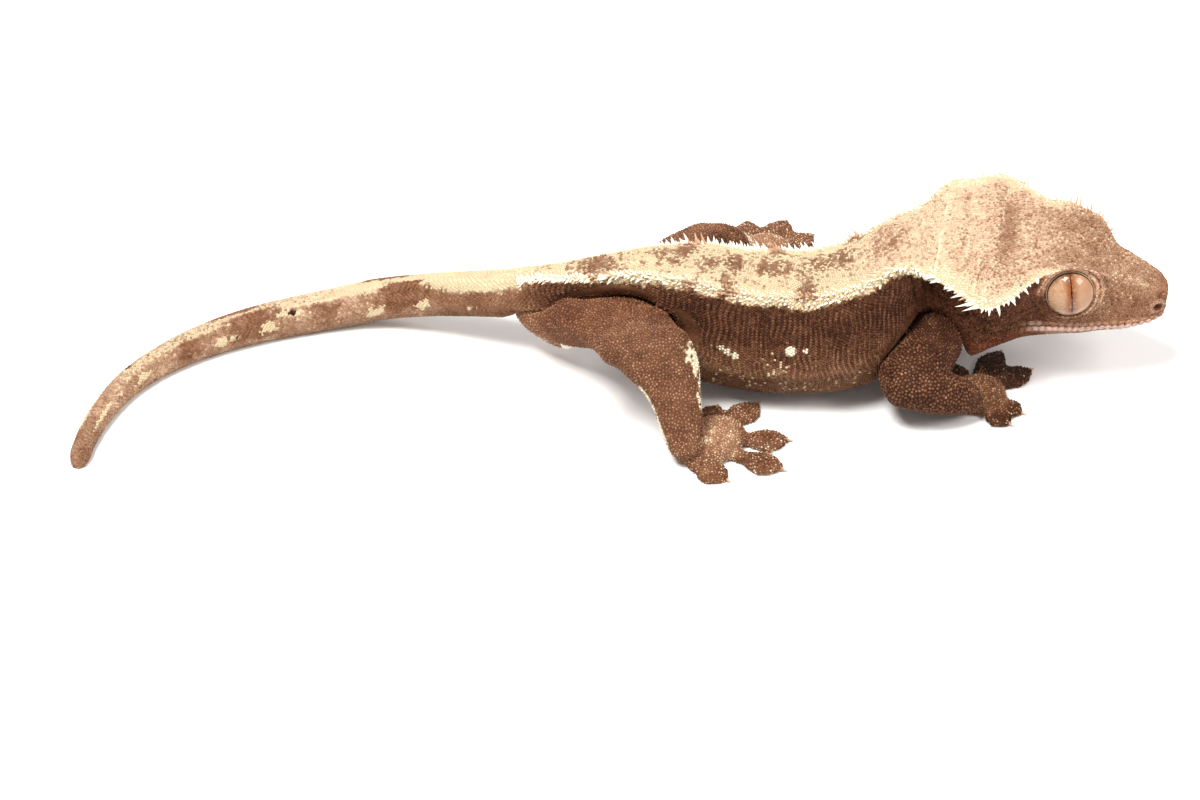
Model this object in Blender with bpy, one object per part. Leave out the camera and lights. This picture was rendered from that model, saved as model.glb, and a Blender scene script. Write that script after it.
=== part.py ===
"""A crested gecko as a still, life-size model, standing with its tail laid on the floor.

Lengths here are in millimetres, and mesh_of() turns them into metres. +X runs from tail to
head, +Y is the animal's left and +Z is up. The body is one loft through named stations, parted
into tail, hips, torso, neck and head with thin gaps. Rows of spines stand along both crest
lines, from the hips over the rim of the skull to the lashes above the eyes. Limbs are tapered
segments that meet at mitred joints, and each foot is joined from a palm, five toes and their
claws.
"""

import math
import random
from typing import NamedTuple

import bmesh
import bpy
import numpy as np
from mathutils import Matrix, Vector

MM = 0.001
MODEL, HELPERS = "crested_gecko", "cutters"
GAP = 0.3  # between nodes that touch
LIMB_CLEARANCE = 0.42  # by which the body is grown before it cuts the root of a limb

# Place of the model's own origin, the middle of its footprint, in the frame of the sizes below
ORIGIN = (4.1, 14.5, 0.0)

# How the head is carried: where the snout tip is, and its turn in degrees
SNOUT_TIP = (92.7, 7.2, 17.3)
HEAD_YAW, HEAD_PITCH, HEAD_ROLL = -9.0, 8.0, 9.0

EYE_RADIUS = 4.6
EYE_CENTRE = (-16.6, 5.8, 1.4)  # in the head's frame, on the left side
EYE_FACING = (0.14, 0.92, 0.36)
EYE_RIM_RADIUS = 4.25
EYE_RIM_THICK = 0.65
EYE_RIM_FORWARD = 1.5  # how far the rim lies in front of the eyeball's centre
EYE_BACK = 2.0  # how deep the eyeball goes behind its centre

FLAT_DEPTH = 0.18  # how far the resting forms dip below the floor before they are cut flat


class Section(NamedTuple):
    """Half a cross-section: how far out and how far up its named points are."""

    top: float
    ridge_out: float
    ridge_up: float
    under_out: float
    under_up: float
    side_out: float
    side_up: float
    lip_out: float
    lip_up: float
    jaw_out: float
    jaw_up: float
    chin: float


class Station(NamedTuple):
    """A cross-section with its centre and its turn in degrees."""

    centre: tuple
    yaw: float
    pitch: float
    roll: float
    section: Section


def round_section(radius, height=1.0):
    """A tail section, a little taller or lower than round."""
    return trunk_section(radius, radius * height, radius * height, radius * 0.5, radius * 0.87 * height)


def trunk_section(half_width, top, belly, crest_out, crest_up):
    """A section of the trunk: two crest lines on the back, full flanks and a flatter belly."""
    return Section(
        top=top,
        ridge_out=crest_out,
        ridge_up=crest_up,
        under_out=crest_out + 0.62 * (half_width - crest_out),
        under_up=0.62 * crest_up,
        side_out=half_width,
        side_up=0.0,
        lip_out=0.93 * half_width,
        lip_up=-0.42 * belly,
        jaw_out=0.62 * half_width,
        jaw_up=-0.86 * belly,
        chin=-belly,
    )


def turn(yaw, pitch, roll):
    """The rotation of a frame that looks along yaw, nose down by pitch, left side up by roll."""
    spin = Matrix.Rotation(math.radians(yaw), 3, "Z")
    nod = Matrix.Rotation(math.radians(pitch), 3, "Y")
    lean = Matrix.Rotation(math.radians(roll), 3, "X")
    return np.array(spin @ nod @ lean)


HEAD_TURN = turn(HEAD_YAW, HEAD_PITCH, HEAD_ROLL)


def head_point(point):
    """A point given in the head's frame, placed in the model."""
    return np.array(SNOUT_TIP) + HEAD_TURN @ np.array(point, float)


def head_station(along, *sizes):
    return Station(tuple(head_point((along, 0, 0))), HEAD_YAW, HEAD_PITCH, HEAD_ROLL, Section(*sizes))


STATIONS = (
    # Tail, from its blunt tip to its root: centre, yaw, pitch, roll
    Station((-83.5, -18.1, 0.75), 94, 0, 0, round_section(0.25)),
    Station((-83.5, -17.8, 0.95), 94, 0, 0, round_section(0.85)),
    Station((-83.4, -16.9, 1.2), 93, 0, 0, round_section(1.3)),
    Station((-82.9, -12.9, 1.5), 82, 0, 0, round_section(1.6)),
    Station((-80.9, -5.3, 1.75), 68, 0, 0, round_section(1.85)),
    Station((-77.1, 2.4, 2.0), 56, 0, 0, round_section(2.1)),
    Station((-68.0, 11.4, 2.4), 38, 0, 0, round_section(2.55)),
    Station((-57.3, 17.1, 2.8), 22, 0, 0, round_section(2.95)),
    Station((-51.0, 19.3, 2.95), 17, 0, 0, round_section(3.1)),
    Station((-44.5, 21.0, 3.3), 9, -2, 0, round_section(3.25)),
    Station((-37.0, 21.7, 4.6), -4, -11, 0, round_section(3.35)),
    Station((-30.1, 20.4, 6.4), -16, -15, 0, round_section(3.4)),
    Station((-23.3, 18.0, 8.5), -22, -16, 0, round_section(3.55)),
    Station((-16.5, 15.4, 10.5), -20, -15, 0, round_section(3.8)),
    # Hips, torso and neck
    Station((-9.0, 13.0, 12.4), -17, -9, 0, trunk_section(4.5, 4.4, 4.4, 1.9, 4.0)),
    Station((0.0, 10.9, 12.9), -13, -5, 0, trunk_section(6.2, 6.6, 6.6, 3.1, 6.1)),
    Station((6.6, 9.6, 12.8), -11, -2, 0, trunk_section(7.6, 9.0, 9.0, 3.7, 8.4)),
    Station((13.5, 8.3, 12.4), -9, 1, 0, trunk_section(9.4, 10.3, 10.2, 5.2, 9.6)),
    Station((26.0, 6.3, 11.5), -4, 1, 0, trunk_section(11.5, 10.4, 10.3, 6.3, 9.7)),
    Station((36.0, 6.3, 11.5), 2, -2, 0, trunk_section(11.7, 10.6, 10.3, 6.6, 9.9)),
    Station((43.0, 7.0, 12.8), 3, -4, 0, trunk_section(10.8, 11.2, 11.0, 6.6, 10.5)),
    Station((48.6, 8.9, 15.6), 1, -2, 3, trunk_section(9.6, 11.2, 11.0, 6.8, 10.4)),
    Station((52.5, 11.3, 20.0), -3, 3, 6, Section(6.4, 8.9, 5.0, 8.7, 1.6, 8.6, -3.0, 8.0, -7.5, 6.2, -11.5, -12.8)),
    # Head, from the nape to the snout: along, then the section's named sizes
    head_station(-38.0, 4.0, 11.6, 2.8, 9.8, 0.2, 8.9, -3.4, 8.6, -7.6, 7.0, -11.2, -12.4),
    head_station(-34.0, 4.4, 13.6, 2.6, 11.4, 0.2, 9.9, -3.6, 10.2, -8.8, 9.4, -12.8, -13.6),
    head_station(-30.0, 5.0, 15.9, 2.6, 13.0, 0.6, 10.8, -3.2, 11.2, -8.8, 10.8, -13.6, -14.2),
    head_station(-26.0, 5.6, 13.8, 3.4, 12.0, 1.4, 10.6, -2.0, 10.8, -6.8, 10.0, -10.9, -12.0),
    head_station(-22.0, 5.8, 9.4, 5.4, 9.8, 3.0, 9.6, -0.8, 9.9, -5.2, 9.0, -8.5, -9.8),
    head_station(-17.0, 5.6, 7.4, 7.2, 7.7, 5.2, 8.6, -0.6, 9.0, -4.7, 8.0, -7.2, -8.4),
    head_station(-12.0, 4.6, 5.6, 5.6, 6.4, 3.0, 7.2, -0.9, 7.8, -4.5, 6.8, -6.5, -7.3),
    head_station(-10.0, 4.0, 4.4, 3.6, 5.7, 1.8, 6.5, -1.2, 7.1, -4.4, 6.1, -6.2, -6.8),
    head_station(-7.0, 3.1, 3.5, 2.5, 4.7, 1.0, 5.5, -1.4, 6.1, -4.4, 5.2, -5.9, -6.5),
    head_station(-3.4, 2.1, 2.6, 1.6, 3.6, 0.3, 4.2, -1.5, 4.7, -4.2, 3.8, -5.4, -5.9),
    head_station(-1.1, 1.3, 1.9, 1.0, 2.7, -0.1, 3.1, -1.7, 3.2, -3.8, 2.6, -4.8, -5.2),
    head_station(-0.2, 0.3, 0.9, 0.1, 1.5, -0.6, 1.7, -1.8, 1.7, -3.2, 1.3, -3.8, -4.0),
    head_station(0.0, -1.5, 0.1, -1.6, 0.2, -1.75, 0.25, -1.9, 0.2, -2.1, 0.1, -2.25, -2.3),
)
SNOUT_FIRST = len(STATIONS) - 1


def hermite(knots, values, at):
    """Smooth values between knots, with slopes from the neighbours on each side."""
    knots = np.asarray(knots, float)
    values = np.asarray(values, float)
    slope = np.diff(values, axis=0) / np.diff(knots)[:, None]
    inner = np.diff(knots)
    weight = (inner[1:] / (inner[:-1] + inner[1:]))[:, None]
    tangent = np.vstack([slope[:1], weight * slope[:-1] + (1 - weight) * slope[1:], slope[-1:]])
    at = np.clip(np.asarray(at, float), knots[0], knots[-1])
    left = np.clip(np.searchsorted(knots, at, side="right") - 1, 0, len(knots) - 2)
    width = inner[left][:, None]
    t = (at - knots[left])[:, None] / width
    return (
        (1 + 2 * t) * (1 - t) ** 2 * values[left]
        + t * (1 - t) ** 2 * width * tangent[left]
        + t * t * (3 - 2 * t) * values[left + 1]
        + t * t * (t - 1) * width * tangent[left + 1]
    )


class Body:
    """The loft through all stations: a place, a frame and a section for each length along it."""

    def __init__(self):
        centres = np.array([s.centre for s in STATIONS])
        steps = np.linalg.norm(np.diff(centres, axis=0), axis=1)
        self.knots = np.concatenate([[0.0], np.cumsum(steps)])
        self.centres = centres
        self.frames = np.array([turn(s.yaw, s.pitch, s.roll)[:, 1:].T.ravel() for s in STATIONS])
        self.sections = np.array([s.section for s in STATIONS])

    def length_at(self, station):
        """The length along the body at a station, which may be a fraction between two."""
        return float(np.interp(station, np.arange(len(self.knots)), self.knots))

    def frame_at(self, lengths):
        """Centre, left and up vectors at each length."""
        centre = hermite(self.knots, self.centres, lengths)
        pair = hermite(self.knots, self.frames, lengths).reshape(-1, 2, 3)
        left = pair[:, 0] / np.linalg.norm(pair[:, 0], axis=1)[:, None]
        up = pair[:, 1] - (pair[:, 1] * left).sum(1)[:, None] * left
        return centre, left, up / np.linalg.norm(up, axis=1)[:, None]

    def section_at(self, lengths):
        return hermite(self.knots, self.sections, lengths)

    def rings(self, lengths, top_steps, side_steps, jaw_steps, grow=0.0):
        """Rings of points, each running from the back over the left side to the chin and round."""
        centre, left, up = self.frame_at(lengths)
        f = self.section_at(lengths)
        zero = np.zeros(len(f))
        mid_out, mid_up = 0.55 * f[:, 1], f[:, 0] + 0.28 * (f[:, 2] - f[:, 0])
        over = [(zero, f[:, 0]), (mid_out, mid_up), (f[:, 1], f[:, 2])]
        flank = [(f[:, 1], f[:, 2]), (f[:, 3], f[:, 4]), (f[:, 5], f[:, 6]), (f[:, 7], f[:, 8])]
        below = [(f[:, 7], f[:, 8]), (f[:, 9], f[:, 10]), (zero, f[:, 11])]
        halves = [
            spline_rows(over, top_steps)[:-1],
            spline_rows(flank, side_steps)[:-1],
            spline_rows(below, jaw_steps),
        ]
        half = np.concatenate(halves)
        mirrored = half[-2:0:-1] * np.array([-1.0, 1.0])[None, :, None]
        ring = np.concatenate([half, mirrored]).transpose(2, 0, 1)
        if grow:
            along = np.roll(ring, -1, axis=1) - np.roll(ring, 1, axis=1)
            outward = np.stack([-along[..., 1], along[..., 0]], axis=2)
            ring = ring + grow * outward / np.linalg.norm(outward, axis=2, keepdims=True)
        return centre[:, None] + ring[..., :1] * left[:, None] + ring[..., 1:] * up[:, None]

    def ridge(self, lengths, side):
        """Points on one crest line, with the outward and the up direction there."""
        centre, left, up = self.frame_at(lengths)
        f = self.section_at(lengths)
        point = centre + side * f[:, 1:2] * left + f[:, 2:3] * up
        return point, side * left, up


def spline_rows(points, steps):
    """Points along a curve through the given ones, for many sections at once."""
    given = np.array([[p[0], p[1]] for p in points])
    knots = np.arange(len(points))
    flat = given.reshape(len(points), -1)
    return hermite(knots, flat, np.linspace(0, len(points) - 1, steps + 1)).reshape(steps + 1, 2, -1)


def placed(point):
    """A point of the sizes' frame in the model's own metres."""
    return (np.asarray(point, float) - np.array(ORIGIN)) * MM


def object_of(name, mesh):
    """An object for a mesh, kept with the helpers until it proves to be a part."""
    obj = bpy.data.objects.new(name, mesh)
    helpers().objects.link(obj)
    obj.hide_render = True
    obj.display_type = "WIRE"
    return obj


def helpers():
    """The collection of cutters and of pieces that are still to be joined."""
    found = bpy.data.collections.get(HELPERS)
    if found is None:
        found = bpy.data.collections.new(HELPERS)
        bpy.context.scene.collection.children.link(found)
    return found


def keep_as_part(obj):
    """Moves a finished node out of the helpers into the model's own collection."""
    found = bpy.data.collections.get(MODEL)
    if found is None:
        found = bpy.data.collections.new(MODEL)
        bpy.context.scene.collection.children.link(found)
    helpers().objects.unlink(obj)
    found.objects.link(obj)
    obj.hide_render = False
    obj.display_type = "TEXTURED"


def mesh_of(name, points, faces):
    """An object whose points are given in millimetres in the frame of the sizes."""
    mesh = bpy.data.meshes.new(name)
    mesh.from_pydata(placed(points).tolist(), [], [tuple(map(int, f)) for f in faces])
    return object_of(name, mesh)


def loft(name, rings):
    """A closed solid through rings of points, capped at both ends, with its faces outward."""
    count, around = rings.shape[:2]
    grid = np.arange(count * around).reshape(count, around)
    after = np.roll(grid, -1, axis=1)
    quads = np.stack([grid[:-1], after[:-1], after[1:], grid[1:]], axis=-1).reshape(-1, 4)
    faces = [*quads, tuple(grid[0][::-1]), tuple(grid[-1])]
    obj = mesh_of(name, rings.reshape(-1, 3), faces)
    face_out(obj)
    return obj


def face_out(obj):
    """Triangulates and turns every face outward."""
    shape = bmesh.new()
    shape.from_mesh(obj.data)
    bmesh.ops.triangulate(shape, faces=shape.faces[:])
    bmesh.ops.recalc_face_normals(shape, faces=shape.faces[:])
    if shape.calc_volume(signed=True) < 0:
        bmesh.ops.reverse_faces(shape, faces=shape.faces[:])
    shape.to_mesh(obj.data)
    shape.free()


def boolean(obj, other, operation, solver="EXACT"):
    """Applies a Boolean with one object or, for a union, with a collection of them."""
    modifier = obj.modifiers.new(operation.title(), "BOOLEAN")
    modifier.operation = operation
    modifier.solver = solver
    if isinstance(other, bpy.types.Collection):
        modifier.operand_type = "COLLECTION"
        modifier.collection = other
        used = list(other.objects)
    else:
        modifier.object = other
        used = [other]
    bpy.context.view_layer.update()
    graph = bpy.context.evaluated_depsgraph_get()
    result = bpy.data.meshes.new_from_object(obj.evaluated_get(graph))
    obj.modifiers.clear()
    spare = obj.data
    obj.data = result
    result.name = spare.name
    bpy.data.meshes.remove(spare)
    for cutter in used:
        bpy.data.objects.remove(cutter, do_unlink=True)
    keep_largest(obj)


def keep_largest(obj):
    """Keeps the closed surface that spans the most room, without loose scraps or sealed hollows."""
    shape = bmesh.new()
    shape.from_mesh(obj.data)
    bmesh.ops.remove_doubles(shape, verts=shape.verts[:], dist=0.001 * MM)
    bmesh.ops.triangulate(shape, faces=shape.faces[:])
    unseen = set(shape.faces)
    pieces = []
    while unseen:
        wave = [unseen.pop()]
        piece = list(wave)
        while wave:
            face = wave.pop()
            for edge in face.edges:
                for near in edge.link_faces:
                    if near in unseen:
                        unseen.discard(near)
                        wave.append(near)
                        piece.append(near)
        pieces.append(piece)
    pieces.sort(key=lambda piece: sum(face.calc_area() for face in piece))
    for piece in pieces[:-1]:
        bmesh.ops.delete(shape, geom=piece, context="FACES")
    loose = [v for v in shape.verts if not v.link_faces]
    bmesh.ops.delete(shape, geom=loose, context="VERTS")
    shape.to_mesh(obj.data)
    shape.free()


def join_all(base, pieces, solver="MANIFOLD"):
    """Fuses closed pieces into the base with one union."""
    group = bpy.data.collections.new(base.name + "_pieces")
    bpy.context.scene.collection.children.link(group)
    for piece in pieces:
        helpers().objects.unlink(piece)
        group.objects.link(piece)
    boolean(base, group, "UNION", solver)
    bpy.data.collections.remove(group)


def slice_off(obj, point, normal):
    """Cuts away what lies beyond a plane and closes the cut."""
    shape = bmesh.new()
    shape.from_mesh(obj.data)
    place = Vector(placed(point))
    geometry = shape.verts[:] + shape.edges[:] + shape.faces[:]
    cut = bmesh.ops.bisect_plane(
        shape, geom=geometry, plane_co=place, plane_no=Vector(normal), clear_outer=True, dist=1e-7
    )
    rim = [e for e in cut["geom_cut"] if isinstance(e, bmesh.types.BMEdge)]
    if rim:
        filled = bmesh.ops.holes_fill(shape, edges=rim)
        bmesh.ops.triangulate(shape, faces=filled["faces"])
    shape.to_mesh(obj.data)
    shape.free()


def rest_on_floor(obj):
    """Cuts a resting form flat at the floor."""
    slice_off(obj, (0.0, 0.0, 0.0), (0.0, 0.0, -1.0))


def ball(name, centre, radii, turned=None, columns=16, rows=10):
    """A closed ellipsoid with its poles along its own Z."""
    mesh = bpy.data.meshes.new(name)
    shape = bmesh.new()
    bmesh.ops.create_uvsphere(shape, u_segments=columns, v_segments=rows, radius=MM)
    basis = np.eye(3) if turned is None else np.asarray(turned, float)
    place = Matrix.Translation(placed(centre))
    shape.transform(place @ Matrix(basis).to_4x4() @ Matrix.Diagonal((*radii, 1.0)))
    shape.to_mesh(mesh)
    shape.free()
    return object_of(name, mesh)


def basis_to(direction, hint=(0.0, 0.0, 1.0)):
    """A frame whose Z looks along a direction and whose Y leans towards the hint."""
    z = np.asarray(direction, float)
    z = z / np.linalg.norm(z)
    y = np.asarray(hint, float) - np.dot(hint, z) * z
    y = y / np.linalg.norm(y)
    return np.stack([np.cross(y, z), y, z], axis=1)


def spike(root, direction, length, width, sink, sides=5):
    """A tapered spine whose base is sunk below its root point."""
    mesh = bpy.data.meshes.new("spike")
    shape = bmesh.new()
    bmesh.ops.create_cone(
        shape,
        cap_ends=True,
        segments=sides,
        radius1=0.5 * width * MM,
        radius2=0.0,
        depth=(length + sink) * MM,
    )
    bmesh.ops.remove_doubles(shape, verts=shape.verts[:], dist=0.001 * MM)
    basis = basis_to(direction, (0.3, 0.2, 0.93))
    middle = np.asarray(root, float) + basis[:, 2] * 0.5 * (length - sink)
    place = Matrix.Translation(placed(middle))
    shape.transform(place @ Matrix(basis).to_4x4())
    bmesh.ops.triangulate(shape, faces=shape.faces[:])
    shape.to_mesh(mesh)
    shape.free()
    return object_of("spike", mesh)


class Limb(NamedTuple):
    """A tapered segment: places with a half width, a half depth, and the way its width lies."""

    places: tuple
    widths: tuple
    depths: tuple
    across: tuple


def tube(name, limb, around=12, rounding=(True, True)):
    """A closed tapered form along a limb's places, with domed ends where they are asked for."""
    places = np.array(limb.places, float)
    steps = np.linalg.norm(np.diff(places, axis=0), axis=1)
    knots = np.concatenate([[0.0], np.cumsum(steps)])
    table = np.column_stack([places, limb.widths, limb.depths])
    at = np.linspace(0, knots[-1], 2 * len(places) - 1)
    rows = hermite(knots, table, at)
    centre, width, depth = rows[:, :3], rows[:, 3], rows[:, 4]
    ahead = np.gradient(centre, axis=0)
    ahead /= np.linalg.norm(ahead, axis=1)[:, None]
    start, end = rounding
    domes = []
    for use, row, sign in ((start, 0, -1.0), (end, -1, 1.0)):
        if not use:
            continue
        reach = 0.85 * min(width[row], depth[row])
        for part in (0.55, 0.9):
            shrink = math.sqrt(1 - part * part)
            domes.append((sign, centre[row] + sign * part * reach * ahead[row], shrink, row))
    across = np.array(limb.across, float)
    rings = []

    def ring(place, forward, half_width, half_depth):
        side = across - np.dot(across, forward) * forward
        side /= np.linalg.norm(side)
        rise = np.cross(forward, side)
        angle = np.linspace(0, 2 * math.pi, around, endpoint=False)[:, None]
        return place + np.cos(angle) * side * half_width + np.sin(angle) * rise * half_depth

    for sign, place, shrink, row in reversed([d for d in domes if d[0] < 0]):
        rings.append(ring(place, ahead[row], width[row] * shrink, depth[row] * shrink))
    for i in range(len(centre)):
        rings.append(ring(centre[i], ahead[i], width[i], depth[i]))
    for sign, place, shrink, row in [d for d in domes if d[0] > 0]:
        rings.append(ring(place, ahead[row], width[row] * shrink, depth[row] * shrink))
    return loft(name, np.array(rings))


class Foot(NamedTuple):
    """A palm and its toes: each toe has a base, a tip and a pad width."""

    ankle: tuple
    palm: tuple
    palm_radii: tuple
    palm_along: tuple
    toes: tuple


TOE_ROWS = (0.0, 0.2, 0.5, 0.78, 0.93, 1.0)
TOE_WIDTHS = (0.62, 0.58, 0.98, 0.94, 0.56, 0.24)
TOE_HEIGHTS = (1.0, 0.9, 0.8, 0.66, 0.5, 0.34)
TOE_THICK = 1.7
CLAW_LENGTH, CLAW_WIDTH = 1.3, 0.8


def toe(name, base, tip, pad_width):
    """A leaf-shaped toe pad from its base to its tip, low and ridged along the middle."""
    base, tip = np.array((*base, 0.0)), np.array((*tip, 0.0))
    ahead = tip - base
    side = np.cross((0.0, 0.0, 1.0), ahead)
    side /= np.linalg.norm(side)
    rings = []
    for row, share, height in zip(TOE_ROWS, TOE_WIDTHS, TOE_HEIGHTS):
        half = 0.5 * pad_width * share
        tall = TOE_THICK * height
        middle = base + row * ahead
        outline = (
            (0.0, tall),
            (0.5 * half, 0.82 * tall),
            (half, 0.24 * tall),
            (0.7 * half, -FLAT_DEPTH),
            (0.0, -1.6 * FLAT_DEPTH),
        )
        mirrored = [(-out, up) for out, up in outline[-2:0:-1]]
        rings.append([middle + out * side + np.array((0, 0, up)) for out, up in (*outline, *mirrored)])
    return loft(name, np.array(rings))


def claw(tip, ahead):
    """A small hooked claw at the end of a toe."""
    ahead = np.array((*ahead, 0.0)) / np.linalg.norm(ahead)
    root = np.array((tip[0], tip[1], 0.42)) - 0.5 * ahead
    return spike(root, ahead + np.array((0, 0, -0.12)), CLAW_LENGTH, CLAW_WIDTH, 0.5, sides=5)


def foot(name, plan):
    """A palm with its toes and claws, fused and cut flat where it rests."""
    ahead = np.array(plan.palm_along, float)
    palm = ball(name, plan.palm, plan.palm_radii, basis_to((0, 0, 1.0), ahead), 14, 7)
    pieces = []
    for base, tip, pad_width in plan.toes:
        pieces.append(toe("toe", base, tip, pad_width))
        pieces.append(claw(tip, np.array(tip, float) - np.array(base, float)))
    join_all(palm, pieces)
    return palm


# The body's nodes: the stations between which each one runs, from tail to head
BODY_NODES = (
    ("tail_tip", 0.0, 5.6),
    ("tail_middle", 5.6, 9.3),
    ("tail_base", 9.3, 13.6),
    ("hips", 13.6, 16.6),
    ("torso", 16.6, 20.3),
    ("neck", 20.3, 23.3),
    ("head", 23.3, float(SNOUT_FIRST)),
)
ROWS_PER_STATION = {"head": 3}
COMMON_ROWS_PER_STATION = 2
TAIL_STEPS = (2, 3, 3)  # points over the back, down the flank and under the belly
TRUNK_STEPS = (4, 6, 5)

# Mouth line in the head's frame: how far along and how far up, from the lip's front to its corner
MOUTH_LINE = ((2.0, -3.6), (-1.1, -3.8), (-3.4, -4.2), (-7.0, -4.4), (-12.0, -4.5), (-17.0, -4.7), (-21.6, -5.1))
LIP_STATIONS = (27.6, 29.0, 31.0, 32.4, 33.4, 34.3)
LIP_RADIUS, LIP_SINK = 0.8, 0.35
JAW_BACK = ((-23.2, -8.6), (-25.0, -16.0))
JAW_FRONT = ((2.0, -16.0),)

NOSTRIL = (-1.7, 3.0, -1.5)
NOSTRIL_RADIUS = 0.7
EAR = (-32.0, 10.6, -4.6)
EAR_RADII = (1.3, 1.7, 2.4)

class Crest(NamedTuple):
    """A run of spines along one node's crest lines, between two stations.

    Spacing, length and width are in millimetres. Rise is the angle in degrees by which the
    spines point up from straight outward, at the run's first and last station.
    """

    node: str
    first: float
    last: float
    spacing: float
    length: float
    width: float
    rise: tuple


CRESTS = (
    Crest("hips", 13.9, 16.42, 1.7, 1.25, 0.85, (60.0, 58.0)),
    Crest("torso", 16.78, 20.12, 1.6, 1.5, 0.9, (58.0, 46.0)),
    Crest("neck", 20.5, 23.1, 1.5, 1.9, 0.95, (46.0, 12.0)),
    Crest("head", 23.55, 27.0, 1.4, 2.15, 0.95, (2.0, 42.0)),
    Crest("head", 27.2, 29.5, 0.95, 2.1, 0.72, (72.0, 20.0)),
)
SPINE_LEAN = 0.3  # how far the spines lean back, as a share of their length
SPINE_SINK = 0.6
SPINE_SEED = 7
SPINE_SPREAD = 0.16  # how much one spine differs from the next in length, place and direction

# Enlarged scales beside the vent: their places down the bulge, from its side to its back
SPURS = ((-6.6, 1.2), (-8.4, 1.1), (-10.0, 0.9))
SPUR_WIDTH = 1.0

# Colour and roughness of the nodes, by what their names start with
LOOKS = (
    ("eye", (0.55, 0.31, 0.18), 0.15),
    ("tail", (0.42, 0.24, 0.13), 0.6),
    ("head", (0.34, 0.2, 0.13), 0.6),
    ("lower_jaw", (0.48, 0.3, 0.24), 0.6),
    ("hand", (0.24, 0.15, 0.12), 0.6),
    ("foot", (0.24, 0.15, 0.12), 0.6),
    ("", (0.2, 0.11, 0.07), 0.65),
)

VENT_BULGE = (-6.4, 11.4, 6.6)
VENT_BULGE_RADII = (4.8, 4.3, 3.9)

RIGHT_ARM = (
    Limb(((55.6, 4.6, 14.2), (52.8, -0.2, 11.8), (49.6, -5.2, 8.8)), (5.0, 5.4, 4.9), (5.2, 5.3, 4.7), (0.6, -0.3, 0.7)),
    Limb(((49.4, -5.9, 8.3), (54.4, -5.6, 6.2), (59.4, -3.8, 3.8)), (4.4, 4.0, 3.3), (4.2, 3.5, 2.6), (0.3, -0.9, 0.2)),
)
LEFT_ARM = (
    Limb(((57.5, 13.0, 14.5), (54.4, 18.4, 11.8), (50.6, 23.4, 9.2)), (4.6, 4.5, 4.2), (4.9, 4.5, 4.1), (0.6, 0.3, 0.7)),
    Limb(((50.4, 23.8, 9.0), (55.6, 25.2, 6.8), (60.8, 26.2, 3.6)), (4.0, 3.6, 2.9), (3.9, 3.3, 2.5), (0.1, 0.9, 0.2)),
)
RIGHT_LEG = (
    Limb(((4.2, 7.0, 11.6), (5.2, 1.2, 13.2), (6.9, -4.6, 15.2)), (8.6, 8.5, 7.9), (4.3, 4.2, 3.9), (1.0, 0.15, 0.1)),
    Limb(
        ((8.8, -6.2, 15.2), (10.9, -8.9, 12.2), (12.2, -11.6, 9.1), (13.1, -14.3, 6.0), (13.9, -16.2, 3.4)),
        (6.6, 5.2, 4.0, 3.4, 2.9),
        (4.1, 3.8, 3.4, 3.0, 2.5),
        (1.0, 0.2, 0.1),
    ),
)
LEFT_LEG = (
    Limb(((5.4, 13.4, 11.8), (12.0, 18.0, 13.6), (18.4, 22.0, 14.8)), (6.4, 6.0, 5.2), (4.4, 4.2, 3.9), (0.7, -0.7, -0.2)),
    Limb(
        ((19.4, 22.8, 14.6), (21.0, 26.6, 11.2), (22.6, 30.4, 7.4), (24.2, 34.0, 3.6)),
        (5.4, 4.9, 3.9, 2.9),
        (3.9, 3.5, 3.0, 2.5),
        (0.9, -0.3, 0.3),
    ),
)

RIGHT_HAND = Foot(
    ankle=(59.4, -2.8, 3.4),
    palm=(61.6, -0.4, 1.4),
    palm_radii=(4.2, 4.9, 2.7),
    palm_along=(0.9, 0.35, 0.0),
    toes=(
        ((61.8, 3.4), (66.9, 12.8), 3.8),
        ((63.4, 2.4), (71.4, 7.8), 4.2),
        ((63.6, -1.4), (69.0, -4.0), 3.8),
        ((62.2, -3.4), (66.8, -7.0), 3.5),
        ((59.8, 2.8), (58.4, 9.2), 3.2),
    ),
)
LEFT_HAND = Foot(
    ankle=(61.0, 26.3, 3.5),
    palm=(63.6, 27.0, 1.3),
    palm_radii=(4.3, 4.5, 2.7),
    palm_along=(0.98, 0.18, 0.0),
    toes=(
        ((65.6, 25.0), (71.6, 20.4), 3.4),
        ((66.8, 26.6), (74.6, 25.4), 3.8),
        ((66.6, 28.6), (73.4, 32.2), 3.9),
        ((64.8, 30.2), (68.6, 36.6), 3.6),
        ((61.8, 29.8), (60.4, 35.6), 3.2),
    ),
)
RIGHT_FOOT = Foot(
    ankle=(14.0, -16.2, 3.6),
    palm=(17.6, -12.6, 1.4),
    palm_radii=(4.8, 6.6, 2.9),
    palm_along=(0.75, 0.66, 0.0),
    toes=(
        ((14.6, -17.4), (20.4, -21.3), 4.2),
        ((21.6, -15.2), (29.4, -18.6), 4.3),
        ((22.0, -11.4), (30.6, -11.0), 4.3),
        ((19.8, -8.4), (25.9, -1.2), 4.0),
        ((16.8, -8.4), (19.2, -1.9), 3.5),
    ),
)
LEFT_FOOT = Foot(
    ankle=(24.4, 34.6, 3.6),
    palm=(27.6, 38.4, 1.4),
    palm_radii=(4.6, 6.0, 2.9),
    palm_along=(0.7, 0.71, 0.0),
    toes=(
        ((30.0, 36.6), (37.8, 38.6), 3.9),
        ((30.6, 40.4), (37.0, 46.2), 4.2),
        ((28.8, 42.4), (32.6, 50.4), 4.2),
        ((25.6, 42.0), (25.8, 50.2), 4.0),
        ((24.2, 38.2), (17.8, 42.0), 3.5),
    ),
)


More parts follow.
